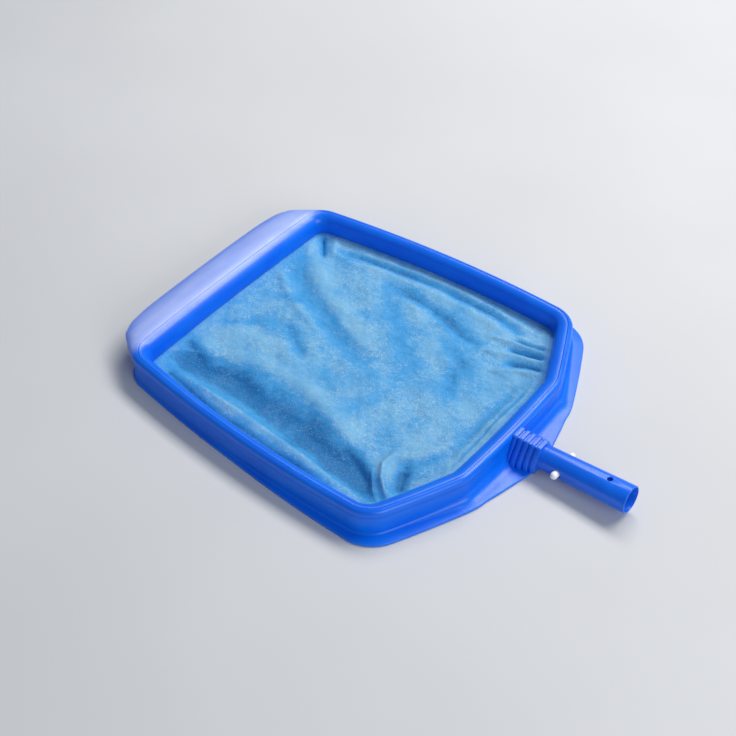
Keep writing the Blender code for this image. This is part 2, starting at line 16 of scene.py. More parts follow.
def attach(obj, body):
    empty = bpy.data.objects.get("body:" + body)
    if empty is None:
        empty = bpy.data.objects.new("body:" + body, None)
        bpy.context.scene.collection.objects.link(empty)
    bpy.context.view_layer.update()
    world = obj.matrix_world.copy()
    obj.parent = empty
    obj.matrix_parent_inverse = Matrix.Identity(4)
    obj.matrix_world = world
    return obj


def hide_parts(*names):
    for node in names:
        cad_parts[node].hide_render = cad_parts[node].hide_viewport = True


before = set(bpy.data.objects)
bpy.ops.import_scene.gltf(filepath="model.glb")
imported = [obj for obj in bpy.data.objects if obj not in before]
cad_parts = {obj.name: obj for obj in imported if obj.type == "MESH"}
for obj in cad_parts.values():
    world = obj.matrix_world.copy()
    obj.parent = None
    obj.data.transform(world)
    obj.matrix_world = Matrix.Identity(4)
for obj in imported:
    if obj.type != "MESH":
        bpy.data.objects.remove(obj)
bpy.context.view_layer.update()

MM = 0.001

# ---------------- sizes
# They are those of the frame's source, apart from the handle: the photo's tube is flared and
# lifted, and the block, the bore and the clip follow it.
REAR_HALF_LENGTH = 76.0 * MM
REAR_TURN = math.radians(3.0)
REAR_CORNER_RADIUS = 30.0 * MM
REAR_CORNER_TURN = math.radians(20.0)
CHAMFER_LENGTH = 79.0 * MM
CHAMFER_TURN = math.radians(4.0)
SIDE_CORNER_RADIUS = 30.0 * MM
SIDE_CORNER_TURN = math.radians(61.0)
SIDE_LENGTH = 290.0 * MM
SIDE_TURN = math.radians(12.0)
FRONT_CORNER_RADIUS = 24.0 * MM
FRONT_TURN = math.radians(2.0)

RIM_HEIGHT = 33.0 * MM
WALL = 2.2 * MM
CREST_RADIUS = 5.0 * MM
WALL_DRAFT = 1.0 * MM
TAIL_THICKNESS = 3.0 * MM
TAIL_EDGE = 0.9 * MM
TAIL_FOOT_EDGE = 0.3 * MM
LIP_REACH = 30.0 * MM
LIP_RISE = 1.1 * MM
LIP_DROP = 4.0 * MM
LIP_THICKNESS = 2.2 * MM
LIP_EDGE_BULGE = 0.7 * MM
LIP_UNDERCUT = 0.6 * MM
LIP_ROOT_DROP = 1.2 * MM
LIP_ROOT_RUN = 1.3 * MM
LIP_ROOT_RISE = 0.4 * MM
LIP_ROOT_FALL = 1.2 * MM
CREST_ROOT_DROP = 4.5 * MM
ROOT_STEP = 0.2 * MM
SHELF_TOP = 9.5 * MM
SHELF_THICKNESS = 2.0 * MM
SHELF_TOE = 2.5 * MM
SEAM_CHAMFER = 0.4 * MM
GAP = 0.3 * MM
INNER_DRAFT = 1.5 * MM
FOOT_EDGE = 0.7 * MM
BINDING_THICKNESS = 1.4 * MM
BINDING_TUCK = 3.0 * MM
BINDING_SHOWN = 7.5 * MM
NET_UNDER_BINDING = 2.0 * MM
NET_THICKNESS = 0.5 * MM
WEAVE_PITCH = 1.15 * MM
TAIL_WIDTHS = ((0, 28.0), (0.65, 19.5), (1, 14.5), (2, 13.0), (3, 13.2), (3.6, 12.2), (4, 10.2),
               (4.25, 7.2), (4.55, 3.6), (5, 2.2), (7, 2.2))
LIP_SHARES = ((0, 0.01), (4.6, 0.01), (5.0, 0.03), (5.45, 0.11), (5.8, 0.37), (6.0, 0.70),
              (6.14, 0.92), (6.4, 1.0), (7, 1.0))
CREST_INNER_WIDTHS = ((0, 13.5), (2, 13.0), (3, 12.0), (4, 10.0), (4.5, 9.5), (5, 10.0), (6, 11.5),
                      (7, 11.5))
CREST_DEPTHS = ((0, 10.0), (3, 9.0), (4.5, 9.0), (5.2, 10.0), (6, 14.0), (7, 14.0))
TAIL_FILLETS = ((0, 12.0), (1, 11.0), (2, 7.5), (2.5, 4.0), (3, 2.5), (4, 2.0), (5, 1.2), (7, 1.2))

TUBE_RADIUS = 14.25 * MM
TUBE_ROOT_RADIUS = 12.7 * MM
TUBE_WALL = 1.5 * MM
TUBE_LENGTH = 97.6 * MM
TUBE_ROOT_HEIGHT = 16.0 * MM
TUBE_LIFT = math.radians(3.0)
BLOCK_START = 3.0 * MM
BLOCK_ROOT = 2.0 * MM
RIB_COUNT = 4
RIB_WIDTH = 4.1 * MM
GROOVE_WIDTH = 2.5 * MM
GROOVE_DEPTH = 1.8 * MM
COLLAR_WIDTH = 5.0 * MM
BLOCK_HEIGHT = 31.75 * MM
BLOCK_TOP_HALF = 7.8 * MM
BLOCK_BASE_HALF = 24.0 * MM
BLOCK_FRONT_HALF = 15.2 * MM
BLOCK_REAR_HALF = 22.5 * MM
BLOCK_CORNER = 3.0 * MM
TUBE_ROOT = 1.2 * MM
BORE_FLOOR = 12.0 * MM
POCKET_RADIUS = 6.6 * MM
POCKET_STEP = 0.9 * MM
THROUGH_HOLE_RADIUS = 3.0 * MM
THROUGH_HOLE_FROM_MOUTH = 24.0 * MM
BUTTON_FROM_BLOCK = 22.8 * MM
BUTTON_RADIUS = 3.8 * MM
BUTTON_PROUD = 6.6 * MM
SHOULDER_RADIUS = 5.6 * MM
SHOULDER_THICKNESS = 0.6 * MM
SEAT_PLAY = 0.39 * MM
HOLE_PLAY = 1.1 * MM
HOLE_SHIFT = 0.2 * MM
STRIP_THICKNESS = 0.8 * MM
STRIP_WIDTH = 8.0 * MM
BOW_RADIUS = 2.5 * MM
LEG_BUTTON_AT = 42.0 * MM
LEG_END = 4.2 * MM
LEG_BEND = math.radians(-9.4)
STRIP_EDGE = 0.15 * MM

CREST_TO_FLOOR = RIM_HEIGHT - CREST_RADIUS
RING_FOOT = SHELF_TOP + BINDING_THICKNESS + 2 * GAP
BLOCK_END = BLOCK_START + BLOCK_ROOT + RIB_COUNT * (RIB_WIDTH + GROOVE_WIDTH) + COLLAR_WIDTH
MOUTH = BLOCK_END + TUBE_LENGTH
TUBE_FOOT = Vector((BLOCK_END, 0, TUBE_ROOT_HEIGHT))
TUBE_TURN = Matrix.Rotation(-TUBE_LIFT, 3, "Y")
TUBE_FLARE = (TUBE_RADIUS - TUBE_ROOT_RADIUS) / TUBE_LENGTH
POCKET_MOUTH_RADIUS = TUBE_ROOT_RADIUS - TUBE_WALL - POCKET_STEP
BUTTON_TUBE_RADIUS = TUBE_ROOT_RADIUS + TUBE_FLARE * BUTTON_FROM_BLOCK
BUTTON_BORE_RADIUS = BUTTON_TUBE_RADIUS - TUBE_FLARE * SHOULDER_RADIUS - TUBE_WALL
BUTTON_X = BLOCK_END + BUTTON_FROM_BLOCK
LEG_LENGTH = LEG_BUTTON_AT + LEG_END
BOW_X = BUTTON_X - LEG_BUTTON_AT
BUTTON_SEAT_Y = (math.sqrt(BUTTON_BORE_RADIUS ** 2 - SHOULDER_RADIUS ** 2) - SEAT_PLAY
                 - SHOULDER_THICKNESS)
LEG_MEAN_ANGLE = math.asin((BUTTON_SEAT_Y - STRIP_THICKNESS / 2 - GAP - BOW_RADIUS) / LEG_BUTTON_AT)
LEG_START_ANGLE = LEG_MEAN_ANGLE - LEG_BEND * LEG_BUTTON_AT / LEG_LENGTH / 2
LIP_SPAN = CREST_RADIUS + LIP_REACH
LIP_PITCH = 2 * (LIP_RISE + math.sqrt(LIP_RISE * (LIP_RISE + LIP_DROP))) / LIP_SPAN
LIP_EDGE_BREAK = 0.1 * MM
BEYOND = 20.0 * MM
BELOW = 5.0 * MM

# ---------------- how finely the looks are drawn
LOFT_STEPS = (22, 12, 20, 24, 60, 24, 34)
CLOTH_STEPS = (48, 14, 52, 24, 170, 24, 90)
CREST_STEPS = 14
FOOT_STEPS = 10
TUBE_STEPS = 96
NET_RINGS = 110
NET_CROWDING = 1.05


# ---------------- outline
def arc_stations(start, heading, length, turn, steps, segment):
    """Stations along one arc, without its first point: (x, y, heading, place)."""
    x, y = start
    stations = []
    for step in range(1, steps + 1):
        share = step / steps
        middle = heading + turn * share / 2
        chord = length * share
        if turn:
            chord = 2 * (length / turn) * math.sin(turn * share / 2)
        stations.append((x - chord * math.sin(middle), y + chord * math.cos(middle),
                         heading + turn * share, segment + share))
    return stations


def rim_outline(steps):
    """The seam's closed outline: points, outward normals and places, from the rear middle."""
    bends = (
        (REAR_HALF_LENGTH, REAR_TURN),
        (REAR_CORNER_RADIUS * REAR_CORNER_TURN, REAR_CORNER_TURN),
        (CHAMFER_LENGTH, CHAMFER_TURN),
        (SIDE_CORNER_RADIUS * SIDE_CORNER_TURN, SIDE_CORNER_TURN),
        (SIDE_LENGTH, SIDE_TURN),
    )
    stations = [(0.0, 0.0, 0.0, 0.0)]
    for segment, (length, turn) in enumerate(bends):
        x, y, heading, _ = stations[-1]
        stations += arc_stations((x, y), heading, length, turn, steps[segment], segment)
    x, y, heading, _ = stations[-1]
    corner_turn = math.pi - FRONT_TURN - heading
    stations += arc_stations((x, y), heading, FRONT_CORNER_RADIUS * corner_turn, corner_turn,
                             steps[5], 5)
    x, y, heading, _ = stations[-1]
    front_half_length = y * FRONT_TURN / math.sin(FRONT_TURN)
    stations += arc_stations((x, y), heading, front_half_length, FRONT_TURN, steps[6], 6)
    half = np.array([(x, y, math.cos(h), math.sin(h), place) for x, y, h, place in stations])
    half[-1, 1] = 0.0
    mirrored = half[-2:0:-1] * (1, -1, 1, -1, 1)
    whole = np.vstack((half, mirrored))
    return whole[:, :2], whole[:, 2:4], whole[:, 4]


def along(place, knots):
    """A smooth width through the knots: cubic, with slopes taken from the neighbours."""
    for index in range(len(knots) - 1):
        if place <= knots[index + 1][0]:
            break
    x0, y0 = knots[index]
    x1, y1 = knots[index + 1]
    span = x1 - x0
    chord = (y1 - y0) / span
    slopes = []
    for neighbour, side in ((index - 1, 0), (index + 2, 1)):
        if not 0 <= neighbour < len(knots):
            slopes.append(0.0)
            continue
        xn, yn = knots[neighbour]
        other = (y0 - yn) / (x0 - xn) if side == 0 else (yn - y1) / (xn - x1)
        slopes.append(2 * chord * other / (chord + other) if chord * other > 0 else 0.0)
    share = (place - x0) / span
    bend = share * share * (3 - 2 * share)
    return (y0 + (y1 - y0) * bend
            + span * slopes[0] * share * (1 - share) ** 2
            - span * slopes[1] * share * share * (1 - share))


LIP_TIP = -(LIP_SPAN + LIP_EDGE_BREAK)
seam_points, _, _ = rim_outline((1, 1, 1, 1, 1, 1, 1))
MIDDLE = Vector(((seam_points[:, 0].min() + LIP_TIP + MOUTH) / 2, 0, 0))


# ---------------- mesh helpers
def make_piece(name, vertices, faces, sharp=35.0):
    """A mesh object in the row frame, from points laid out round the seam's rear middle."""
    mesh = bpy.data.meshes.new(name)
    mesh.from_pydata([tuple(v) for v in vertices], [], faces)
    mesh.transform(Matrix.Translation(-MIDDLE))
    bm = bmesh.new()
    bm.from_mesh(mesh)
    bmesh.ops.recalc_face_normals(bm, faces=bm.faces)
    bm.to_mesh(mesh)
    bm.free()
    mesh.shade_smooth()
    mesh.set_sharp_from_angle(angle=math.radians(sharp))
    thing = bpy.data.objects.new(name, mesh)
    bpy.context.scene.collection.objects.link(thing)
    return thing


def bridge(rows, columns, close_rows=True, start=0):
    """Quads between neighbouring rows of points; each row is a closed loop."""
    faces = []
    for row in range(rows if close_rows else rows - 1):
        below = start + row * columns
        above = start + (row + 1) % rows * columns
        for column in range(columns):
            after = (column + 1) % columns
            faces.append((below + column, above + column, above + after, below + after))
    return faces


def capped(rows, columns, start=0):
    """Faces of a closed body: quads between its rows of points, then its two flat ends."""
    end = start + (rows - 1) * columns
    return bridge(rows, columns, close_rows=False, start=start) + [
        tuple(range(start, start + columns)), tuple(range(end, end + columns))]


def arc(across, up, radius, turns):
    """Points round the centre (across, up), at turns given in degrees."""
    return [(across + radius * math.cos(math.radians(turn)),
             up + radius * math.sin(math.radians(turn))) for turn in turns]


def loft_ring(name, section, steps=LOFT_STEPS, sharp=35.0):
    """Sweep the section of each place round the whole outline."""
    points, normals, places = rim_outline(steps)
    half = len(places) // 2 + 1
    sections = [section(place) for place in places[:half]]
    sections += sections[-2:0:-1]
    vertices = []
    for point, normal, profile in zip(points, normals, sections):
        vertices += [(*(point + normal * offset), height) for offset, height in profile]
    return make_piece(name, vertices, bridge(len(places), len(sections[0])), sharp)


def lathe(profile, origin, direction, segments, bulge=None):
    """Points and faces of a turned body from (distance along, radius); both ends are flat."""
    turn = Vector((0, 0, 1)).rotation_difference(Vector(direction)).to_matrix().to_4x4()
    place = Matrix.Translation(Vector(origin)) @ turn
    vertices = []
    for distance, radius in profile:
        for step in range(segments):
            angle = 2 * math.pi * (step + 0.5) / segments
            reach = radius + (bulge(angle) if bulge else 0.0)
            vertices.append(place @ Vector((reach * math.cos(angle), reach * math.sin(angle),
                                            distance)))
    return vertices, capped(len(profile), segments)


# ---------------- rim and ring sections
def lip_height(offset):
    """Height of the lip's top: it rises from the seam, then falls to its edge."""
    return RIM_HEIGHT + LIP_PITCH * offset * (1 - LIP_PITCH * offset / (4 * LIP_RISE))


def crest_curve(place):
    """Top of the rim from the seam outwards: a quarter round that becomes the scoop lip."""
    share = along(place, LIP_SHARES)
    points = []
    for step in range(1, CREST_STEPS + 1):
        part = step / CREST_STEPS
        angle = part * math.pi / 2
        round_offset = CREST_RADIUS * math.sin(angle)
        round_height = RIM_HEIGHT - CREST_RADIUS * (1 - math.cos(angle))
        lip_offset = LIP_SPAN * part
        points.append((round_offset + (lip_offset - round_offset) * share,
                       round_height + (lip_height(lip_offset) - round_height) * share))
    return points, share


def tail_curve(place):
    """The hollow round between the wall and the top of the tail."""
    fillet = along(place, TAIL_FILLETS) * MM
    points = []
    for step in range(FOOT_STEPS + 1):
        angle = step / FOOT_STEPS * math.pi / 2
        points.append((CREST_RADIUS + WALL_DRAFT + fillet * (1 - math.cos(angle)),
                       TAIL_THICKNESS + fillet * (1 - math.sin(angle))))
    return points


def rim_section(place):
    """Cross-section of the rim with its lip, wall, tail and inner shelf, edges softened."""
    crest, share = crest_curve(place)
    inner = along(place, CREST_INNER_WIDTHS) * MM
    tail_edge = CREST_RADIUS + WALL_DRAFT + along(place, TAIL_WIDTHS) * MM
    tip_offset, tip_height = crest[-1]
    half_gap = GAP / 2
    inside = CREST_RADIUS - WALL
    lip_root = RIM_HEIGHT - LIP_THICKNESS - LIP_ROOT_DROP
    wall_root = CREST_TO_FLOOR - CREST_ROOT_DROP
    root_height = wall_root + (lip_root - wall_root) * share
    under_height = (tip_height - LIP_THICKNESS + root_height) / 2
    section = [
        (half_gap, RIM_HEIGHT - WALL),
        (half_gap, RIM_HEIGHT - SEAM_CHAMFER),
        (half_gap + SEAM_CHAMFER * 0.3, RIM_HEIGHT - SEAM_CHAMFER * 0.3),
        (half_gap + SEAM_CHAMFER, RIM_HEIGHT),
    ]
    section += crest
    bulge = LIP_EDGE_BULGE * share
    for part in (0.15, 0.4, 0.7, 0.92):
        section.append((tip_offset + LIP_EDGE_BREAK * part + bulge * 4 * part * (1 - part),
                        tip_height - LIP_THICKNESS * part))
    section.append((tip_offset + LIP_EDGE_BREAK, tip_height - LIP_THICKNESS))
    for part in (0.85, 0.7, 0.55, 0.4, 0.25, 0.12):
        lip_offset = CREST_RADIUS + LIP_REACH * part
        hollow = lip_height(lip_offset) - LIP_THICKNESS - LIP_UNDERCUT * (1 - part) ** 4
        plain = under_height + (tip_height - LIP_THICKNESS - under_height) * part
        section.append((CREST_RADIUS + ROOT_STEP * (1 - share) + LIP_REACH * part * share,
                        plain + (hollow - plain) * share))
    section += [
        (CREST_RADIUS + ROOT_STEP + LIP_ROOT_RUN * share, root_height + LIP_ROOT_RISE * share),
        (CREST_RADIUS + ROOT_STEP, root_height - LIP_ROOT_FALL * share),
    ]
    section += tail_curve(place)
    section += arc(tail_edge - TAIL_EDGE, TAIL_THICKNESS - TAIL_EDGE, TAIL_EDGE, (90, 60, 30, 0))
    section += [
        (tail_edge, TAIL_FOOT_EDGE),
        (tail_edge - TAIL_FOOT_EDGE, 0.0),
        (inside + WALL_DRAFT, 0.0),
        (inside + WALL_DRAFT, SHELF_TOP - SHELF_THICKNESS),
        (-(inner + INNER_DRAFT + SHELF_TOE), SHELF_TOP - SHELF_THICKNESS),
        (-(inner + INNER_DRAFT + SHELF_TOE), SHELF_TOP),
        (inside + WALL_DRAFT, SHELF_TOP),
        (inside, CREST_TO_FLOOR),
        (inside * 0.7, RIM_HEIGHT - WALL - inside * 0.3),
    ]
    return section


def ring_section(place):
    """Cross-section of the clamp ring: the crest's inner half, the inner wall and its foot."""
    inner = along(place, CREST_INNER_WIDTHS) * MM
    depth = along(place, CREST_DEPTHS) * MM
    lean = math.atan(LIP_PITCH) * along(place, LIP_SHARES)
    half_gap = GAP / 2
    section = [
        (-half_gap, RIM_HEIGHT - WALL),
        (-half_gap, RIM_HEIGHT - SEAM_CHAMFER),
        (-half_gap - SEAM_CHAMFER * 0.3, RIM_HEIGHT - SEAM_CHAMFER * 0.3),
        (-half_gap - SEAM_CHAMFER, RIM_HEIGHT),
    ]
    shoulder = []
    for step in range(1, CREST_STEPS + 1):
        angle = lean + (math.pi / 2 - lean) * step / CREST_STEPS
        run = (math.sin(angle) - math.sin(lean)) / (1 - math.sin(lean))
        fall = 1 - math.cos(angle) / math.cos(lean)
        section.append((-inner * run, RIM_HEIGHT - depth * fall))
        shoulder.append((-inner * run + WALL * run, RIM_HEIGHT - depth * fall - WALL * (1 - fall)))
    foot = -(inner + INNER_DRAFT)
    section += arc(foot + FOOT_EDGE, RING_FOOT + FOOT_EDGE, FOOT_EDGE, (180, 210, 240, 270))
    section += [
        (foot + WALL - 0.2 * MM, RING_FOOT),
        (foot + WALL, RING_FOOT + 0.2 * MM),
    ]
    return section + shoulder[:0:-1]


# ---------------- cloth heights
# Folds of the slack net: (points, height at the line, width, sharpness, shading), in mm.  The shading
# is painted into the cloth's colour: painted shade (-1) along valleys, painted light (1) along ridges.
FOLDS = (
    # the long valley along the near side, its upper edge and the ridge beside the wall
    (((-352, -117), (-328, -114), (-274, -107), (-208, -112), (-147, -124), (-101, -131), (-72, -132)),
     -8.5, 14.0, 2.2, -0.75),
    (((-335, -103), (-280, -92), (-230, -88), (-180, -97), (-135, -112), (-95, -122)), -2.4, 13.0, 2.4,
     -0.55),
    (((-336, -86), (-284, -70), (-236, -62), (-186, -70), (-142, -88), (-104, -102)), 2.6, 12.0, 2.0,
     0.45),
    (((-350, -123), (-300, -130), (-240, -134), (-180, -138), (-120, -145), (-78, -150)), 3.4, 6.0, 1.7,
     0.45),
    (((-300, -126), (-240, -129), (-180, -133), (-110, -140)), -1.5, 2.2, 1.5, -0.25),
    (((-334, -136), (-290, -144), (-240, -149), (-180, -152), (-110, -156)), -2.6, 4.2, 1.8, -0.9),
    (((-361, -112), (-347, -100), (-330, -92)), 1.6, 2.6, 1.4, 0.6),
    (((-356, -84), (-340, -92), (-326, -97)), -2.2, 6.5, 1.6, -0.75),
    # the pucker of the far front corner and the smooth tongue that runs from it
    (((-350, 134), (-331, 111)), -4.2, 3.4, 1.4, -0.9),
    (((-361, 124), (-346, 102)), 1.8, 4.0, 1.5, 0.35),
    (((-338, 142), (-322, 118)), 1.8, 4.0, 1.5, 0.35),
    (((-357, 100), (-345, 78), (-318, 57), (-282, 40), (-246, 20), (-214, 10), (-176, 4)), -2.8, 11.0,
     2.8, -0.28),
    (((-352, 60), (-326, 40), (-296, 24), (-268, 14)), 1.8, 6.0, 1.8, 0.35),
    (((-284, -6), (-268, -14), (-246, -30)), -2.6, 7.5, 1.8, -0.6),
    (((-330, 96), (-304, 76), (-278, 62), (-246, 50), (-214, 40)), 1.6, 9.0, 2.0, 0.4),
    (((-334, 24), (-318, 30), (-300, 34)), -0.8, 7.0, 1.8, -0.4),
    (((-352, -46), (-330, -30), (-312, -12)), -1.2, 8.0, 1.8, -0.45),
    (((-336, -58), (-300, -40), (-268, -36), (-230, -44)), 1.4, 12.0, 2.0, 0.35),
    # the far side: hem line, furrow, ridge and the dark band beyond it
    (((-300, 139), (-240, 148), (-204, 153), (-161, 154), (-119, 153), (-78, 147)), 1.5, 3.0, 1.5, 0.5),
    (((-316, 128), (-290, 134), (-244, 140), (-207, 145), (-161, 146), (-119, 145), (-84, 139)), -2.6,
     4.2, 1.7, -0.75),
    (((-300, 118), (-257, 128), (-208, 133), (-158, 134), (-117, 132), (-84, 127)), 2.2, 6.0, 1.6, 0.4),
    (((-240, 112), (-212, 116), (-186, 114), (-158, 109), (-134, 101), (-112, 98)), -3.4, 6.5, 1.8,
     -0.7),
    (((-266, 103), (-231, 112), (-198, 104), (-176, 88)), 1.6, 6.0, 1.6, 0.25),
    (((-136, 76), (-114, 68), (-97, 58)), -1.4, 7.5, 1.8, -0.45),
    (((-106, 46), (-98, 32), (-92, 20)), -1.5, 8.0, 2.0, -0.5),
    (((-212, 84), (-190, 66), (-166, 40)), -1.2, 9.0, 2.0, -0.35),
    (((-150, 96), (-146, 60)), 1.4, 13.0, 2.0, 0.15),
    (((-152, 46), (-140, 14)), -0.8, 13.0, 2.0, -0.3),
    # pointed pleats of the far rear corner with gaps between them
    (((-108, 114), (-75, 122), (-48, 128)), 3.6, 3.6, 1.3, 0.5),
    (((-98, 93), (-66, 105), (-38, 113)), 3.6, 3.8, 1.3, 0.5),
    (((-76, 72), (-52, 88), (-31, 95)), 3.0, 4.2, 1.3, 0.4),
    (((-84, 132), (-62, 133), (-46, 138)), 2.0, 3.4, 1.3, 0.4),
    (((-78, 112), (-58, 117), (-40, 121)), -4.4, 3.2, 1.4, -0.9),
    (((-68, 92), (-50, 100), (-32, 104)), -4.2, 3.2, 1.4, -0.9),
    (((-80, 126), (-62, 128), (-46, 133)), -3.2, 2.8, 1.4, -0.8),
    # the doubled hem along the rear
    (((-27, 84), (-26, 50), (-26, 14), (-25, -22), (-24, -60), (-27, -84)), 1.7, 2.6, 1.5, 0.55),
    (((-35, 66), (-33, 50), (-33, 12), (-32, -24), (-31, -62)), 0.9, 1.8, 1.5, 0.4),
    (((-30, 70), (-29.5, 50), (-29.5, 12), (-28.5, -24), (-28, -62)), -1.0, 1.3, 1.5, -0.5),
    (((-42, 62), (-40, 46), (-41, 14), (-41, -20), (-40, -50)), -2.2, 5.0, 1.6, -0.3),
    # the sharp pleats and hollows of the near rear corner
    (((-52, -134), (-62, -126), (-74, -115), (-83, -100), (-82, -84)), 6.0, 3.2, 1.25, 0.6),
    (((-50, -118), (-58, -104), (-62, -92)), -6.5, 7.0, 1.8, -1.0),
    (((-80, -84), (-68, -77), (-58, -68), (-51, -44)), 2.0, 3.8, 1.6, 0.55),
    (((-72, -138), (-86, -126), (-104, -114), (-128, -104)), -4.0, 7.0, 1.7, -0.5),
    (((-58, -142), (-72, -131), (-88, -112)), 2.2, 2.6, 1.3, 0.3),
    (((-56, -82), (-50, -70), (-46, -56)), -1.4, 5.0, 1.6, -0.5),
)
CLOTH_EDGE = SHELF_TOP + GAP + BINDING_THICKNESS / 2
CLOTH_LOW = 1.3 * MM
CLOTH_MIDDLE = 9.2 * MM
CLOTH_TOP = 14.0 * MM
# Ripples between the folds: (height, seed, wavelength, count), in mm.
RIPPLES = ((0.85, 11, 62.0, 7), (0.45, 12, 27.0, 9), (0.16, 13, 11.0, 11))
# How far from the ring's foot the sag and the folds fade in, and how softly heights are limited, in mm.
SAG_REACH = 34.0
GRIP_START = 1.0
GRIP_REACH = 9.0
SOFT_LIMIT = 0.8
# How far each fold fades towards its ends, and how fast.
FOLD_END_SHARE = 0.55
FOLD_END_SLOPE = 3.0
# The cloth's plain level, its random ripples as above, and how strongly and widely a fold's
# painted shade and painted light show.
PLAIN_TONE = 0.42
TONE_RIPPLES = (0.12, 21, 48.0, 8)
PAINTED_SHADE_STRENGTH = 1.6
PAINTED_LIGHT_STRENGTH = 0.8
PAINTED_SHADING_SPREAD = 1.15


def fold_shape(x, y, points, width, sharpness):
    """Cross-section of a fold at each point: 1 on its line, fading to 0 beside it and past its ends."""
    best = np.full(x.shape, 1e9)
    place = np.zeros(x.shape)
    length = 0.0
    total = sum(math.dist(a, b) for a, b in zip(points, points[1:]))
    for (ax, ay), (bx, by) in zip(points, points[1:]):
        run = math.dist((ax, ay), (bx, by))
        share = np.clip(((x - ax) * (bx - ax) + (y - ay) * (by - ay)) / run ** 2, 0, 1)
        distance = np.hypot(x - ax - share * (bx - ax), y - ay - share * (by - ay))
        nearer = distance < best
        best = np.where(nearer, distance, best)
        place = np.where(nearer, (length + share * run) / total, place)
        length += run
    ends = np.minimum(1.0, FOLD_END_SHARE + FOLD_END_SLOPE * np.minimum(place, 1 - place))
    return np.exp(-(best / width) ** sharpness) * ends


def ripples(x, y, seed, wavelength, count):
    """Smooth irregular ripples of about one wavelength, between -1 and 1 or so."""
    random = np.random.default_rng(seed)
    total = np.zeros(x.shape)
    for _ in range(count):
        heading, phase = random.uniform(0, 2 * math.pi, 2)
        number = 2 * math.pi / (wavelength * random.uniform(0.7, 1.5))
        total += np.sin((x * math.cos(heading) + y * math.sin(heading)) * number + phase)
    return total / math.sqrt(count)


def cloth_height(x, y, inward):
    """Height of the cloth's middle at layout point (x, y), inward from the clamp ring's foot."""
    x, y, inward = x / MM, y / MM, inward / MM
    slack = np.zeros(x.shape)
    for points, height, width, sharpness, _ in FOLDS:
        slack += height * fold_shape(x, y, points, width, sharpness)
    for height, seed, wavelength, count in RIPPLES:
        slack += height * ripples(x, y, seed, wavelength, count)
    low = CLOTH_MIDDLE / MM
    edge = CLOTH_EDGE / MM
    sag = low + (edge - low) * np.exp(-(inward / SAG_REACH) ** 2)
    grip = np.clip((inward - GRIP_START) / GRIP_REACH, 0, 1)
    grip = grip * grip * (3 - 2 * grip)
    height = sag + slack * grip
    floor, top = CLOTH_LOW / MM, CLOTH_TOP / MM
    height = floor + SOFT_LIMIT * np.logaddexp(0, (height - floor) / SOFT_LIMIT)
    height = top - SOFT_LIMIT * np.logaddexp(0, (top - height) / SOFT_LIMIT)
    return height * MM


def paint_fold_shading(cloth):
    """Store the painted shading at each point for its material: painted shade in valleys, painted light on
    ridges.
    """
    spots = np.empty(len(cloth.data.vertices) * 3)
    cloth.data.vertices.foreach_get("co", spots)
    x = (spots[0::3] + MIDDLE.x) / MM
    y = spots[1::3] / MM
    strength, seed, wavelength, count = TONE_RIPPLES
    tone_and_painted_shading = PLAIN_TONE + strength * ripples(x, y, seed, wavelength, count)
    for points, _, width, sharpness, shade in FOLDS:
        strength = shade * (PAINTED_SHADE_STRENGTH if shade < 0 else PAINTED_LIGHT_STRENGTH)
        tone_and_painted_shading += strength * fold_shape(x, y, points, width * PAINTED_SHADING_SPREAD, sharpness)
    layer = cloth.data.attributes.new("tone_and_painted_shading", "FLOAT", "POINT")
    layer.data.foreach_set("value", np.clip(tone_and_painted_shading, -1.0, 1.0))


# ---------------- cloth pieces
def cloth_frame():
    """Outline of the ring's foot at cloth resolution: points and inward normals."""
    points, normals, places = rim_outline(CLOTH_STEPS)
    half = len(places) // 2 + 1
    inner = np.array([along(place, CREST_INNER_WIDTHS) * MM for place in places[:half]])
    inner = np.concatenate((inner, inner[-2:0:-1]))
    foot = points - normals * (inner + INNER_DRAFT)[:, None]
    return foot, -normals


def make_net():
    """The net as one continuous slack cloth from hem to hem."""
    foot, inward_normals = cloth_frame()
    start = BINDING_SHOWN - NET_UNDER_BINDING
    rim = foot + inward_normals * start
    count = len(rim)
    middle = np.array(((rim[:, 0].min() + rim[:, 0].max()) / 2, 0.0))
    vertices = []
    for ring in range(NET_RINGS):
        share = 1 - (ring / NET_RINGS) ** NET_CROWDING
        spots = middle + (rim - middle) * share
        inward = start + np.linalg.norm(rim - middle, axis=1) * (1 - share) * 0.93
        heights = cloth_height(spots[:, 0], spots[:, 1], inward)
        vertices += list(np.column_stack((spots, heights)))
    centre = cloth_height(np.array([middle[0]]), np.array([0.0]), np.array([0.15]))[0]
    vertices.append((middle[0], 0.0, centre))
    faces = bridge(NET_RINGS, count, close_rows=False)
    last = (NET_RINGS - 1) * count
    faces += [(last + i, last + (i + 1) % count, len(vertices) - 1) for i in range(count)]
    net = make_piece("net_cloth", vertices, faces, sharp=180.0)
    paint_fold_shading(net)
    thick = net.modifiers.new("thickness", "SOLIDIFY")
    thick.thickness = NET_THICKNESS
    thick.offset = 0.0
    return net


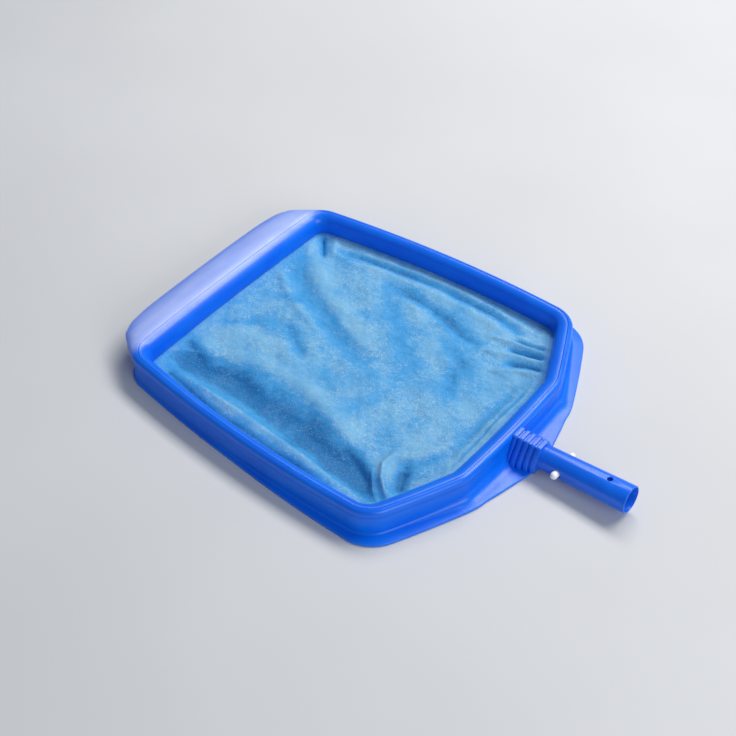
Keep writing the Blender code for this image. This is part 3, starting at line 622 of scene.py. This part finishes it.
def make_hem():
    """The doubled edge of the net: a soft band that waves with the cloth."""
    foot, inward_normals = cloth_frame()
    half = BINDING_THICKNESS / 2
    reach = BINDING_TUCK + WALL - 0.4 * MM
    across = ((-reach, half * 0.9), (-0.2 * MM, half * 0.9), (1.2 * MM, half),
              (2.2 * MM, half * 0.92), (3.6 * MM, half * 1.1), (4.9 * MM, half * 1.1),
              (6.2 * MM, half * 0.95), (7.0 * MM, half * 1.05), (BINDING_SHOWN, half * 0.7))
    top, bottom = [], []
    for inward, thickness in across:
        spots = foot + inward_normals * inward
        heights = cloth_height(spots[:, 0], spots[:, 1], np.full(len(spots), max(inward, 0.0)))
        top.append(np.column_stack((spots, heights + thickness)))
        bottom.append(np.column_stack((spots, heights - thickness)))
    loop = np.array(top + bottom[::-1])
    rows = loop.transpose(1, 0, 2)
    vertices = rows.reshape(-1, 3)
    hem = make_piece("net_hem", vertices, bridge(len(foot), len(loop)), sharp=60.0)
    paint_fold_shading(hem)
    return hem


def make_stitches():
    """Two rows of sewn stitches that hold the hem."""
    foot, inward_normals = cloth_frame()
    half = BINDING_THICKNESS / 2
    vertices, faces = [], []
    pitch, length, thread = 3.1 * MM, 2.3 * MM, 0.27 * MM
    sides = 5
    parts = np.array((0.0, 0.12, 0.5, 0.88, 1.0))
    lifts = np.array((-0.25, 0.12, 0.26, 0.12, -0.25)) * MM
    girths = (0.6, 1.0, 1.1, 1.0, 0.6)
    for inward in (2.6 * MM, 5.6 * MM):
        spots = foot + inward_normals * inward
        steps = np.linalg.norm(np.roll(spots, -1, axis=0) - spots, axis=1)
        total = steps.sum()
        marks = np.concatenate(((0.0,), np.cumsum(steps)))
        closed = np.vstack((spots, spots[:1]))
        number = int(total / pitch)
        for stitch in range(number):
            at = (stitch + 0.1) * total / number + length * parts
            x = np.interp(at, marks, closed[:, 0])
            y = np.interp(at, marks, closed[:, 1])
            z = cloth_height(x, y, np.full(len(at), inward)) + half * 1.05 + lifts
            line = [Vector(spot) for spot in zip(x, y, z)]
            start = len(vertices)
            run = (line[-1] - line[0]).normalized()
            side = run.cross(Vector((0, 0, 1))).normalized()
            up = side.cross(run)
            for spot, girth in zip(line, girths):
                for step in range(sides):
                    angle = 2 * math.pi * step / sides
                    vertices.append(spot + (side * math.cos(angle) + up * math.sin(angle))
                                    * thread * girth)
            faces += capped(len(line), sides, start)
    return make_piece("hem_stitches", vertices, faces, sharp=80.0)


# ---------------- handle
def block_outline(x, inset):
    """Half of the block's section at x as (y, z), foot to top, drawn in by the inset."""
    top = BLOCK_HEIGHT - inset
    slope = math.atan2(BLOCK_BASE_HALF - BLOCK_TOP_HALF, BLOCK_HEIGHT)
    share = (x - BLOCK_START) / (BLOCK_END - BLOCK_START)
    limit = BLOCK_REAR_HALF + (BLOCK_FRONT_HALF - BLOCK_REAR_HALF) * share - inset
    side = BLOCK_BASE_HALF - inset / math.cos(slope)
    bend_height = (side - limit) / math.tan(slope)
    radius = BLOCK_CORNER - inset / 2
    top_half = side - top * math.tan(slope)
    centre = Vector((top_half - radius * math.tan((math.pi / 2 - slope) / 2), top - radius))
    # the upright foot turns into the sloping side in a soft bend
    half = [(limit, 0.0), (limit, bend_height * 0.8),
            (limit - (bend_height * 0.2) * math.tan(slope) * 0.6, bend_height * 1.15)]
    steps = 8
    for step in range(steps + 1):
        angle = slope + (math.pi / 2 - slope) * step / steps
        half.append((centre.x + radius * math.cos(angle), centre.y + radius * math.sin(angle)))
    return half


def block_mesh():
    """The ribbed block: full sections at the ribs, drawn-in ones in the grooves, edges rounded."""
    soft = 0.5 * MM
    edge = [(0.0, soft), (soft * 0.13, soft * 0.5), (soft * 0.5, soft * 0.13), (soft, 0.0)]
    x = BLOCK_START + BLOCK_ROOT
    stops = [(BLOCK_START, 0.0)]
    for _ in range(RIB_COUNT):
        x += RIB_WIDTH
        stops += [(x - run, inset) for run, inset in reversed(edge)]
        stops += [(x, GROOVE_DEPTH), (x + GROOVE_WIDTH, GROOVE_DEPTH)]
        x += GROOVE_WIDTH
        stops += [(x + run, inset) for run, inset in edge]
    x += COLLAR_WIDTH
    stops += [(x - run, inset) for run, inset in reversed(edge)]
    vertices = []
    for x, inset in stops:
        half = block_outline(x, inset)
        vertices += [(x, y, z) for y, z in half + [(-y, z) for y, z in reversed(half)]]
    return vertices, capped(len(stops), len(vertices) // len(stops))


def rim_clearance_mesh():
    """What the block must stay clear of: the rear of the rim, grown by the gap."""
    points, normals, places = rim_outline(LOFT_STEPS)
    reach = LOFT_STEPS[0]
    vertices = []
    for index in range(-reach, reach + 1):
        place = places[index]
        crest, _ = crest_curve(place)
        outside = CREST_RADIUS + WALL_DRAFT + along(place, TAIL_WIDTHS) * MM + BEYOND
        section = [(-BEYOND, -BELOW), (-BEYOND, RIM_HEIGHT + GAP)]
        section += [(offset + GAP, height + GAP) for offset, height in crest + tail_curve(place)]
        section += [(outside, TAIL_THICKNESS + GAP), (outside, -BELOW)]
        vertices += [(*(points[index] + normals[index] * offset), height)
                     for offset, height in section]
    rows = 2 * reach + 1
    return vertices, capped(rows, len(vertices) // rows)


def parting_line(angle):
    """The faint ridge that the two halves of the mould leave along both sides of the tube."""
    off = abs((angle + math.pi / 2) % math.pi - math.pi / 2)
    return 0.12 * MM * math.exp(-(off / 0.05) ** 2)


def lifted(x, y, height=0.0):
    """A point beside the tube's level axis, carried to where the tube's lift takes it."""
    return TUBE_FOOT + TUBE_TURN @ (Vector((x, y, TUBE_ROOT_HEIGHT + height)) - TUBE_FOOT)


def make_handle():
    """Ribbed block and flared socket tube in one moulding; the bore narrows to a pocket."""
    start = lifted(0, 0)
    axis = TUBE_TURN @ Vector((1, 0, 0))
    handle = make_piece("handle_moulding", *block_mesh())
    root = BLOCK_END - TUBE_ROOT
    narrow = BLOCK_END - COLLAR_WIDTH
    lip = 0.7 * MM
    mouth = [(MOUTH - lip + lip * math.sin(math.radians(a)),
              TUBE_RADIUS - lip + lip * math.cos(math.radians(a))) for a in (0, 22, 45, 68, 90)]
    fillet_run, fillet_rise = 1.2 * MM, 0.6 * MM
    fillet = [(BLOCK_END + fillet_run * (1 - math.cos(math.radians(a))),
               TUBE_ROOT_RADIUS + fillet_rise * (1 - math.sin(math.radians(a))))
              for a in (0, 30, 60, 90)]
    hole_radius = BUTTON_RADIUS + HOLE_PLAY
    through = 2 * TUBE_RADIUS
    rim = 0.4 * MM
    guides = (
        ("UNION", lathe([(root, TUBE_ROOT_RADIUS + 0.5 * MM)] + fillet + mouth, start, axis, TUBE_STEPS,
                        parting_line)),
        ("DIFFERENCE", lathe(
            ((BORE_FLOOR, POCKET_RADIUS), (narrow, POCKET_MOUTH_RADIUS - GROOVE_DEPTH),
             (root, POCKET_MOUTH_RADIUS), (BLOCK_END + TUBE_WALL, TUBE_ROOT_RADIUS - TUBE_WALL),
             (MOUTH - rim, TUBE_RADIUS - TUBE_WALL), (MOUTH + rim, TUBE_RADIUS - TUBE_WALL + rim)),
            start, axis, TUBE_STEPS)),
        ("DIFFERENCE", lathe(((0, THROUGH_HOLE_RADIUS), (2 * through, THROUGH_HOLE_RADIUS)),
                             lifted(MOUTH - THROUGH_HOLE_FROM_MOUTH, 0, -through),
                             TUBE_TURN @ Vector((0, 0, 1)), 40)),
        ("DIFFERENCE", lathe(((0, hole_radius), (2 * through, hole_radius)),
                             lifted(BUTTON_X + HOLE_SHIFT, -through), (0, 1, 0), 48)),
        ("DIFFERENCE", rim_clearance_mesh()),
    )
    cutters = []
    for number, (operation, solid) in enumerate(guides):
        cutter = make_piece(f"cutter_{number}", *solid)
        cutters.append(cutter)
        modifier = handle.modifiers.new(cutter.name, "BOOLEAN")
        modifier.operation = operation
        modifier.solver = "EXACT"
        modifier.object = cutter
    bevel = handle.modifiers.new("edges", "BEVEL")
    bevel.width = 0.25 * MM
    bevel.segments = 2
    bevel.limit_method = "ANGLE"
    bevel.angle_limit = math.radians(40)
    bevel.use_clamp_overlap = True
    bake_modifiers(handle, 32.0)
    for cutter in cutters:
        bpy.data.objects.remove(cutter)
    return handle


def bake_modifiers(thing, sharp):
    """Make the modified shape the object's own mesh."""
    bpy.context.view_layer.update()
    graph = bpy.context.evaluated_depsgraph_get()
    mesh = bpy.data.meshes.new_from_object(thing.evaluated_get(graph))
    thing.modifiers.clear()
    thing.data = mesh
    mesh.shade_smooth()
    mesh.set_sharp_from_angle(angle=math.radians(sharp))


def leg_point(distance):
    """A point of the leg's centre line and its direction there; the leg is a long arc."""
    radius = LEG_LENGTH / LEG_BEND
    angle = LEG_START_ANGLE + LEG_BEND * distance / LEG_LENGTH
    x = BOW_X + GAP + radius * (math.sin(angle) - math.sin(LEG_START_ANGLE))
    y = BOW_RADIUS - radius * (math.cos(angle) - math.cos(LEG_START_ANGLE))
    return x, y, angle


def make_strip(name, points, side):
    """A flat spring strip with rounded edges along (x, y) points, its width across the tube."""
    thick, half = STRIP_THICKNESS / 2 - STRIP_EDGE, STRIP_WIDTH / 2 - STRIP_EDGE
    corners = []
    for out, up, turn in ((1, 1, 0), (-1, 1, 90), (-1, -1, 180), (1, -1, 270)):
        corners += arc(out * thick, up * half, STRIP_EDGE, (turn, turn + 45, turn + 90))
    vertices = []
    for index, point in enumerate(points):
        before = Vector(points[max(index - 1, 0)])
        after = Vector(points[min(index + 1, len(points) - 1)])
        run = (after - before).normalized()
        across = Vector((-run.y, run.x))
        for out, up in corners:
            spot = Vector(point) + across * out
            vertices.append(lifted(spot.x, spot.y * side, up))
    return make_piece(name, vertices, capped(len(points), len(corners)), sharp=40.0)


def make_button(name, side):
    """A lock button with its shoulder, a softened neck and a domed head with a small gate mark."""
    x, y, angle = leg_point(LEG_BUTTON_AT)
    outward = TUBE_TURN @ Vector((-math.sin(angle), math.cos(angle) * side, 0))
    origin = lifted(x, y * side) + outward * (STRIP_THICKNESS / 2 + GAP)
    length = BUTTON_TUBE_RADIUS + BUTTON_PROUD - BUTTON_SEAT_Y
    profile = [(0, SHOULDER_RADIUS - 0.2 * MM), (0.2 * MM, SHOULDER_RADIUS),
               (SHOULDER_THICKNESS - 0.2 * MM, SHOULDER_RADIUS),
               (SHOULDER_THICKNESS, SHOULDER_RADIUS - 0.2 * MM),
               (SHOULDER_THICKNESS, BUTTON_RADIUS + 0.3 * MM),
               (SHOULDER_THICKNESS + 0.3 * MM, BUTTON_RADIUS)]
    for step in range(15):
        turn = step / 15 * math.pi / 2
        profile.append((length - BUTTON_RADIUS * (1 - math.sin(turn)),
                        BUTTON_RADIUS * math.cos(turn)))
    profile += [(length - 0.08 * MM, 0.42 * MM), (length + 0.06 * MM, 0.36 * MM),
                (length + 0.08 * MM, 0.1 * MM)]
    return make_piece(name, *lathe(profile, origin, outward, 48), sharp=40.0)


# ---------------- node helpers
class Nodes:
    """A short way to write a material's nodes."""

    def __init__(self, name):
        self.material = bpy.data.materials.new(name)
        self.material.use_nodes = True
        self.tree = self.material.node_tree
        self.shader = self.tree.nodes["Principled BSDF"]

    def add(self, kind, **settings):
        """A node with its properties (lower case) and its input values (by name) set."""
        node = self.tree.nodes.new(kind)
        for key, value in settings.items():
            if key == "inputs":
                for name, content in value.items():
                    self.feed(node.inputs[name], content)
            else:
                setattr(node, key, value)
        return node

    def feed(self, socket, content):
        """Link a socket to another's output, or set its value."""
        if isinstance(content, bpy.types.NodeSocket):
            self.tree.links.new(content, socket)
        else:
            socket.default_value = content

    def math(self, operation, a, b=0.0, clamp=False):
        """A math node's result."""
        node = self.add("ShaderNodeMath", operation=operation, use_clamp=clamp)
        self.feed(node.inputs[0], a)
        self.feed(node.inputs[1], b)
        return node.outputs[0]

    def mix(self, factor, a, b, blend="MIX"):
        """Two colours mixed."""
        node = self.add("ShaderNodeMix", data_type="RGBA", blend_type=blend)
        self.feed(node.inputs[0], factor)
        self.feed(node.inputs[6], a)
        self.feed(node.inputs[7], b)
        return node.outputs[2]

    def ramp(self, value, low, high, from_value=0.0, to_value=1.0):
        """A value mapped smoothly from between low and high."""
        node = self.add("ShaderNodeMapRange", interpolation_type="SMOOTHSTEP")
        for name, content in (("Value", value), ("From Min", low), ("From Max", high),
                              ("To Min", from_value), ("To Max", to_value)):
            self.feed(node.inputs[name], content)
        return node.outputs[0]

    def place(self, scale=(1, 1, 1), rotation=(0, 0, 0)):
        """Object coordinates, turned and then scaled."""
        coordinates = self.add("ShaderNodeTexCoord")
        mapping = self.add("ShaderNodeMapping", vector_type="TEXTURE", inputs={
            "Vector": coordinates.outputs["Object"], "Scale": tuple(1 / s for s in scale),
            "Rotation": rotation})
        return mapping.outputs[0]

    def noise(self, vector, scale, detail=3.0, roughness=0.5, distortion=0.0):
        """Noise between 0 and 1."""
        node = self.add("ShaderNodeTexNoise", inputs={
            "Vector": vector, "Scale": scale, "Detail": detail, "Roughness": roughness,
            "Distortion": distortion})
        return node.outputs[0]

    def bump(self, height, distance, strength=1.0, before=None):
        """A bump of the surface; heights of 0 to 1 are scaled to the distance."""
        node = self.add("ShaderNodeBump", inputs={
            "Height": height, "Distance": distance, "Strength": strength})
        if before is not None:
            self.feed(node.inputs["Normal"], before)
        return node.outputs[0]

    def set(self, **values):
        """Set the main shader's inputs; underscores stand for spaces."""
        for name, content in values.items():
            self.feed(self.shader.inputs[name.replace("_", " ")], content)


def srgb(red, green, blue):
    """A linear colour from sRGB values of 0 to 255."""
    linear = []
    for value in (red, green, blue):
        value /= 255
        linear.append(value / 12.92 if value <= 0.04045 else ((value + 0.055) / 1.055) ** 2.4)
    return (*linear, 1.0)


# ---------------- materials
def plastic(name, base, deep, pale, roughness, painted_lip_highlight=False):
    """Moulded plastic: faint flow in the colour, fine grain, scuffs and edges worn paler, and with the lip
    option a painted highlight on the scoop lip.
    """
    n = Nodes(name)
    whole = n.place()
    flow = n.noise(n.place(scale=(1, 1, 2.5)), 14.0, 3.0, 0.55, 0.6)
    colour = n.mix(n.ramp(flow, 0.35, 0.68), deep, base)
    along_scuffs = n.noise(n.place(scale=(1, 14, 6), rotation=(0, 0, 0.5)), 60.0, 2.0)
    cross_scuffs = n.noise(n.place(scale=(15, 1, 6), rotation=(0, 0, -0.3)), 52.0, 2.0)
    scuffs = n.math("MAXIMUM", n.ramp(along_scuffs, 0.68, 0.76), n.ramp(cross_scuffs, 0.69, 0.77))
    worn_patch = n.ramp(n.noise(whole, 26.0, 4.0, 0.6), 0.48, 0.66)
    geometry = n.add("ShaderNodeNewGeometry")
    edge = n.ramp(geometry.outputs["Pointiness"], 0.515, 0.56)
    wear = n.math("MULTIPLY", edge, n.math("MULTIPLY_ADD", worn_patch, 0.6), clamp=True)
    colour = n.mix(n.math("MULTIPLY", scuffs, 0.10), colour, pale)
    colour = n.mix(n.math("MULTIPLY", wear, 0.30), colour, pale)
    # Painted highlight: the front of the lip and crest is mixed towards a pale lavender white, strongest
    # at the crown where the lamp's highlight falls, with patchy noise in it.
    if painted_lip_highlight:
        split = n.add("ShaderNodeSeparateXYZ", inputs={"Vector": whole})
        lip_highlight_mask = n.math("MULTIPLY", n.ramp(split.outputs[0], -0.224, -0.239),
                        n.ramp(split.outputs[2], 22.0 * MM, 29.0 * MM))
        highlight_patches = n.noise(n.place(scale=(5, 1, 1)), 20.0, 4.0, 0.6)
        rubbing_and_painted_highlight = n.math("ADD", n.ramp(highlight_patches, 0.2, 0.8, -0.07, 0.07),
                     n.ramp(split.outputs[2], 29.0 * MM, 34.0 * MM, 0.24, 0.55))
        colour = n.mix(n.math("MULTIPLY", lip_highlight_mask, rubbing_and_painted_highlight), colour, srgb(212, 222, 252))
    grain = n.noise(whole, 900.0, 2.0, 0.6)
    waviness = n.noise(whole, 45.0, 2.0, 0.5)
    rough = n.math("ADD", n.ramp(worn_patch, 0.0, 1.0, roughness - 0.03, roughness + 0.05),
                   n.math("MULTIPLY", scuffs, 0.10))
    first = n.bump(waviness, 0.25 * MM, 0.35)
    second = n.bump(grain, 0.05 * MM, 0.5, first)
    third = n.bump(scuffs, -0.03 * MM, 0.6, second)
    n.set(Base_Color=colour, Roughness=rough, Normal=third, Specular_IOR_Level=0.42)
    return n.material


def net_fabric(name, dark, middle, high, pale, fuzz_and_sheen_strength):
    """Fine woven mesh: threads with holes darkened as painted shade, painted shade in the folds' valleys
    and painted light on their ridges, pale fibre streaks that are partly painted sheen, lint and painted
    glint specks.
    """
    n = Nodes(name)
    whole = n.place()
    turned = n.place(scale=(1 / WEAVE_PITCH,) * 3, rotation=(0, 0, 0.06))
    threads = n.add("ShaderNodeSeparateXYZ", inputs={"Vector": turned})
    waves = [n.math("ABSOLUTE", n.math("SINE", n.math("MULTIPLY", threads.outputs[axis], math.pi)))
             for axis in (0, 1)]
    holes = n.ramp(n.math("MAXIMUM", *waves), 0.62, 0.86, 1.0, 0.0)
    # The stored painted shading darkens the cloth's colour in valleys and lightens it on ridges.
    tone_and_painted_shading = n.add("ShaderNodeAttribute", attribute_name="tone_and_painted_shading").outputs["Fac"]
    cloud = n.ramp(n.noise(whole, 24.0, 4.0, 0.62, 0.5), 0.30, 0.70, -0.22, 0.22)
    mottle = n.ramp(n.noise(n.place(scale=(1, 1.6, 1)), 110.0, 3.0, 0.6), 0.30, 0.70, -0.14, 0.14)
    level = n.math("ADD", tone_and_painted_shading, n.math("ADD", cloud, mottle))
    colour = n.mix(n.ramp(level, -1.0, 0.0), dark, middle)
    colour = n.mix(n.ramp(level, 0.0, 0.9), colour, high)
    # Pale streaks: partly fibres, partly painted sheen, strongest where the painted light is. The fine
    # specks further down are painted glints.
    fuzz_and_sheen = 0.0
    for turn, scale, stretch in ((0.35, 300.0, 6.0), (-0.5, 340.0, 7.0), (1.25, 280.0, 5.0),
                                 (2.2, 320.0, 6.0), (0.9, 420.0, 8.0)):
        vector = n.place(scale=(1, stretch, 1), rotation=(0, 0, turn))
        streak = n.ramp(n.noise(vector, scale / stretch * 3.2, 2.0, 0.6, 0.7), 0.56, 0.74)
        fuzz_and_sheen = n.math("MAXIMUM", fuzz_and_sheen, streak)
    fuzz_and_sheen = n.math("MULTIPLY", fuzz_and_sheen, n.ramp(n.noise(whole, 34.0, 3.0, 0.6), 0.30, 0.62, 0.25, 1.0))
    fuzz_and_sheen = n.math("MULTIPLY", fuzz_and_sheen, n.ramp(level, -0.2, 0.45, 0.35, 1.0))
    lint = n.ramp(n.noise(n.place(scale=(1, 2.5, 1), rotation=(0, 0, 0.8)), 130.0, 2.0, 0.5), 0.72, 0.80)
    glint_speckle = n.ramp(n.noise(whole, 620.0, 2.0, 0.7), 0.56, 0.78)
    for mask, share in ((fuzz_and_sheen, 1.0), (lint, 1.0), (glint_speckle, 0.5)):
        colour = n.mix(n.math("MULTIPLY", mask, fuzz_and_sheen_strength * share), colour, pale)
    # Painted shade: the holes between the threads are darkened towards deep blue, as if looking through to
    # shade.
    hole_shade = n.mix(0.5, colour, (0.0, 0.07, 0.16, 1.0))
    colour = n.mix(n.math("MULTIPLY", n.math("SUBTRACT", 1.0, holes), 0.35), colour, hole_shade)
    first = n.bump(n.noise(whole, 260.0, 3.0, 0.6), 0.5 * MM, 0.35)
    second = n.bump(holes, 0.25 * MM, 0.6, first)
    n.set(Base_Color=colour, Normal=second, Roughness=0.62, Specular_IOR_Level=0.3, Sheen_Weight=0.06,
          Sheen_Roughness=0.45, Sheen_Tint=(0.75, 0.9, 1.0, 1.0))
    return n.material


def thread_material():
    """Twisted sewing thread."""
    n = Nodes("sewing_thread")
    twist = n.ramp(n.noise(n.place(scale=(1, 1, 1), rotation=(0.3, 0.2, 0.7)), 1500.0, 1.0), 0.35, 0.65)
    colour = n.mix(twist, srgb(70, 150, 222), srgb(140, 200, 246))
    n.set(Base_Color=colour, Normal=n.bump(twist, 0.06 * MM, 0.6), Roughness=0.6)
    return n.material


def steel_material():
    """Rolled spring steel: fine lines along the strip and a few dull stains."""
    n = Nodes("spring_steel_looks")
    lines = n.noise(n.place(scale=(1, 30, 30)), 240.0, 3.0, 0.6)
    stains = n.ramp(n.noise(n.place(), 120.0, 4.0, 0.6), 0.5, 0.72)
    colour = n.mix(n.math("MULTIPLY", stains, 0.55), (0.62, 0.62, 0.60, 1.0), (0.30, 0.27, 0.24, 1.0))
    n.set(Base_Color=colour, Roughness=n.ramp(lines, 0.2, 0.8, 0.22, 0.42),
          Normal=n.bump(lines, 0.02 * MM, 0.5), Metallic=1.0)
    return n.material


def button_material():
    """White plastic with faint worn patches."""
    n = Nodes("button_looks")
    rubbing_and_painted_highlight = n.ramp(n.noise(n.place(), 420.0, 4.0, 0.6), 0.45, 0.7)
    colour = n.mix(rubbing_and_painted_highlight, srgb(252, 252, 251), srgb(242, 243, 242))
    n.set(Base_Color=colour, Roughness=n.ramp(rubbing_and_painted_highlight, 0.0, 1.0, 0.30, 0.45),
          Normal=n.bump(n.noise(n.place(), 1500.0, 2.0), 0.03 * MM, 0.4))
    return n.material


def floor_material():
    """Plain pale floor."""
    n = Nodes("floor")
    tone_and_painted_shading = n.noise(n.place(), 3.0, 2.0)
    n.set(Base_Color=n.mix(n.ramp(tone_and_painted_shading, 0.3, 0.7), (0.66, 0.66, 0.65, 1.0), (0.69, 0.69, 0.68, 1.0)),
          Roughness=0.9, Specular_IOR_Level=0.2)
    return n.material


def paint(thing, material):
    """Give the whole object one material."""
    thing.data.materials.clear()
    thing.data.materials.append(material)


# ---------------- pieces
def dress_piece(piece, looks, node=None, body="root"):
    """Give a piece its material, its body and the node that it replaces."""
    paint(piece, looks)
    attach(piece, body)
    if node:
        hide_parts(node)
    return piece


def dress():
    """Make each piece, ride it on its body and give it its material."""
    # The rim and the ring carry a painted highlight on the scoop lip and front crest.
    shell = plastic("rim_plastic_looks", srgb(2, 116, 242), srgb(0, 106, 236), srgb(104, 170, 250), 0.33,
                    painted_lip_highlight=True)
    inner = plastic("ring_plastic_looks", srgb(2, 116, 242), srgb(0, 104, 236), srgb(104, 170, 250), 0.33,
                    painted_lip_highlight=True)
    grip = plastic("handle_plastic_looks", srgb(2, 110, 238), srgb(0, 100, 230), srgb(100, 166, 248), 0.34)
    # The net's colours: painted shade for valleys, plain, painted light for ridges, and a pale colour for
    # fibres, lint and painted sheen.
    net_looks = net_fabric("net_looks", srgb(0, 118, 184), srgb(54, 162, 228), srgb(118, 188, 230),
                           srgb(206, 234, 242), 0.62)
    hem_looks = net_fabric("hem_looks", srgb(0, 112, 184), srgb(62, 164, 232), srgb(124, 194, 234),
                           srgb(206, 234, 242), 0.48)

    dress_piece(loft_ring("rim_moulding", rim_section), shell, "outer_frame")
    dress_piece(loft_ring("ring_moulding", ring_section), inner, "clamp_ring")
    net = dress_piece(make_net(), net_looks, "net_bag")
    hem = dress_piece(make_hem(), hem_looks, "net_binding")
    stitches = dress_piece(make_stitches(), thread_material())

    dress_piece(make_handle(), grip, "handle_socket")
    white = button_material()
    for side_name, side in (("left", -1), ("right", 1)):
        dress_piece(make_button(f"button_{side_name}", side), white,
                    f"lock_button_{side_name}", f"leg_{side_name}")

    steel = steel_material()
    steps = 24
    bow = [(BOW_X - BOW_RADIUS * math.sin(math.pi * step / steps),
            BOW_RADIUS * math.cos(math.pi * step / steps)) for step in range(steps + 1)]
    leg = [leg_point(LEG_LENGTH * step / steps)[:2] for step in range(steps + 1)]
    for name, body, points, side in (("bow", "root", bow, 1), ("leg_left", "leg_left", leg, -1),
                                     ("leg_right", "leg_right", leg, 1)):
        dress_piece(make_strip(f"spring_{name}", points, side), steel, f"clip_{name}", body)


def make_stage():
    """Floor, lamps, world and camera."""
    corners = [(x, y, -0.1 * MM) for x, y in ((-6, -6), (6, -6), (6, 6), (-6, 6))]
    floor = make_piece("floor", corners, [(0, 1, 2, 3)])
    paint(floor, floor_material())

    world = bpy.data.worlds.new("studio")
    bpy.context.scene.world = world
    world.use_nodes = True
    background = world.node_tree.nodes["Background"]
    background.inputs["Color"].default_value = (0.62, 0.74, 1.0, 1.0)
    background.inputs["Strength"].default_value = 0.27

    for name, toward, distance, size, power, colour in (
            ("softbox", (0.08, 0.567, 0.82), 2.4, (2.7, 0.7), 60.0, (1.0, 0.99, 0.97)),
            ("side", (0.9, -0.28, 0.42), 2.6, (1.4, 1.4), 24.0, (0.97, 0.98, 1.0))):
        lamp_data = bpy.data.lights.new(name, "AREA")
        lamp_data.shape = "RECTANGLE"
        lamp_data.size, lamp_data.size_y = size
        lamp_data.energy = power
        lamp_data.color = colour
        lamp = bpy.data.objects.new(name, lamp_data)
        direction = Vector(toward).normalized()
        lamp.location = direction * distance
        lamp.rotation_euler = direction.to_track_quat("Z", "Y").to_euler()
        bpy.context.scene.collection.objects.link(lamp)

    camera_data = bpy.data.cameras.new("camera")
    camera_data.lens = 71.461
    camera_data.sensor_width = 36.0
    camera_data.clip_start = 0.05
    camera_data.clip_end = 30.0
    camera = bpy.data.objects.new("camera", camera_data)
    azimuth, elevation = math.radians(38.10), math.radians(43.89)
    back = Vector((math.sin(azimuth) * math.cos(elevation),
                   -math.cos(azimuth) * math.cos(elevation), math.sin(elevation)))
    camera.location = (0.63378, -0.8623, 1.0607)
    camera.rotation_mode = "QUATERNION"
    camera.rotation_quaternion = (-back).to_track_quat("-Z", "Y")
    bpy.context.scene.collection.objects.link(camera)
    bpy.context.scene.camera = camera
    bpy.context.scene.view_settings.view_transform = "Standard"


dress()
make_stage()
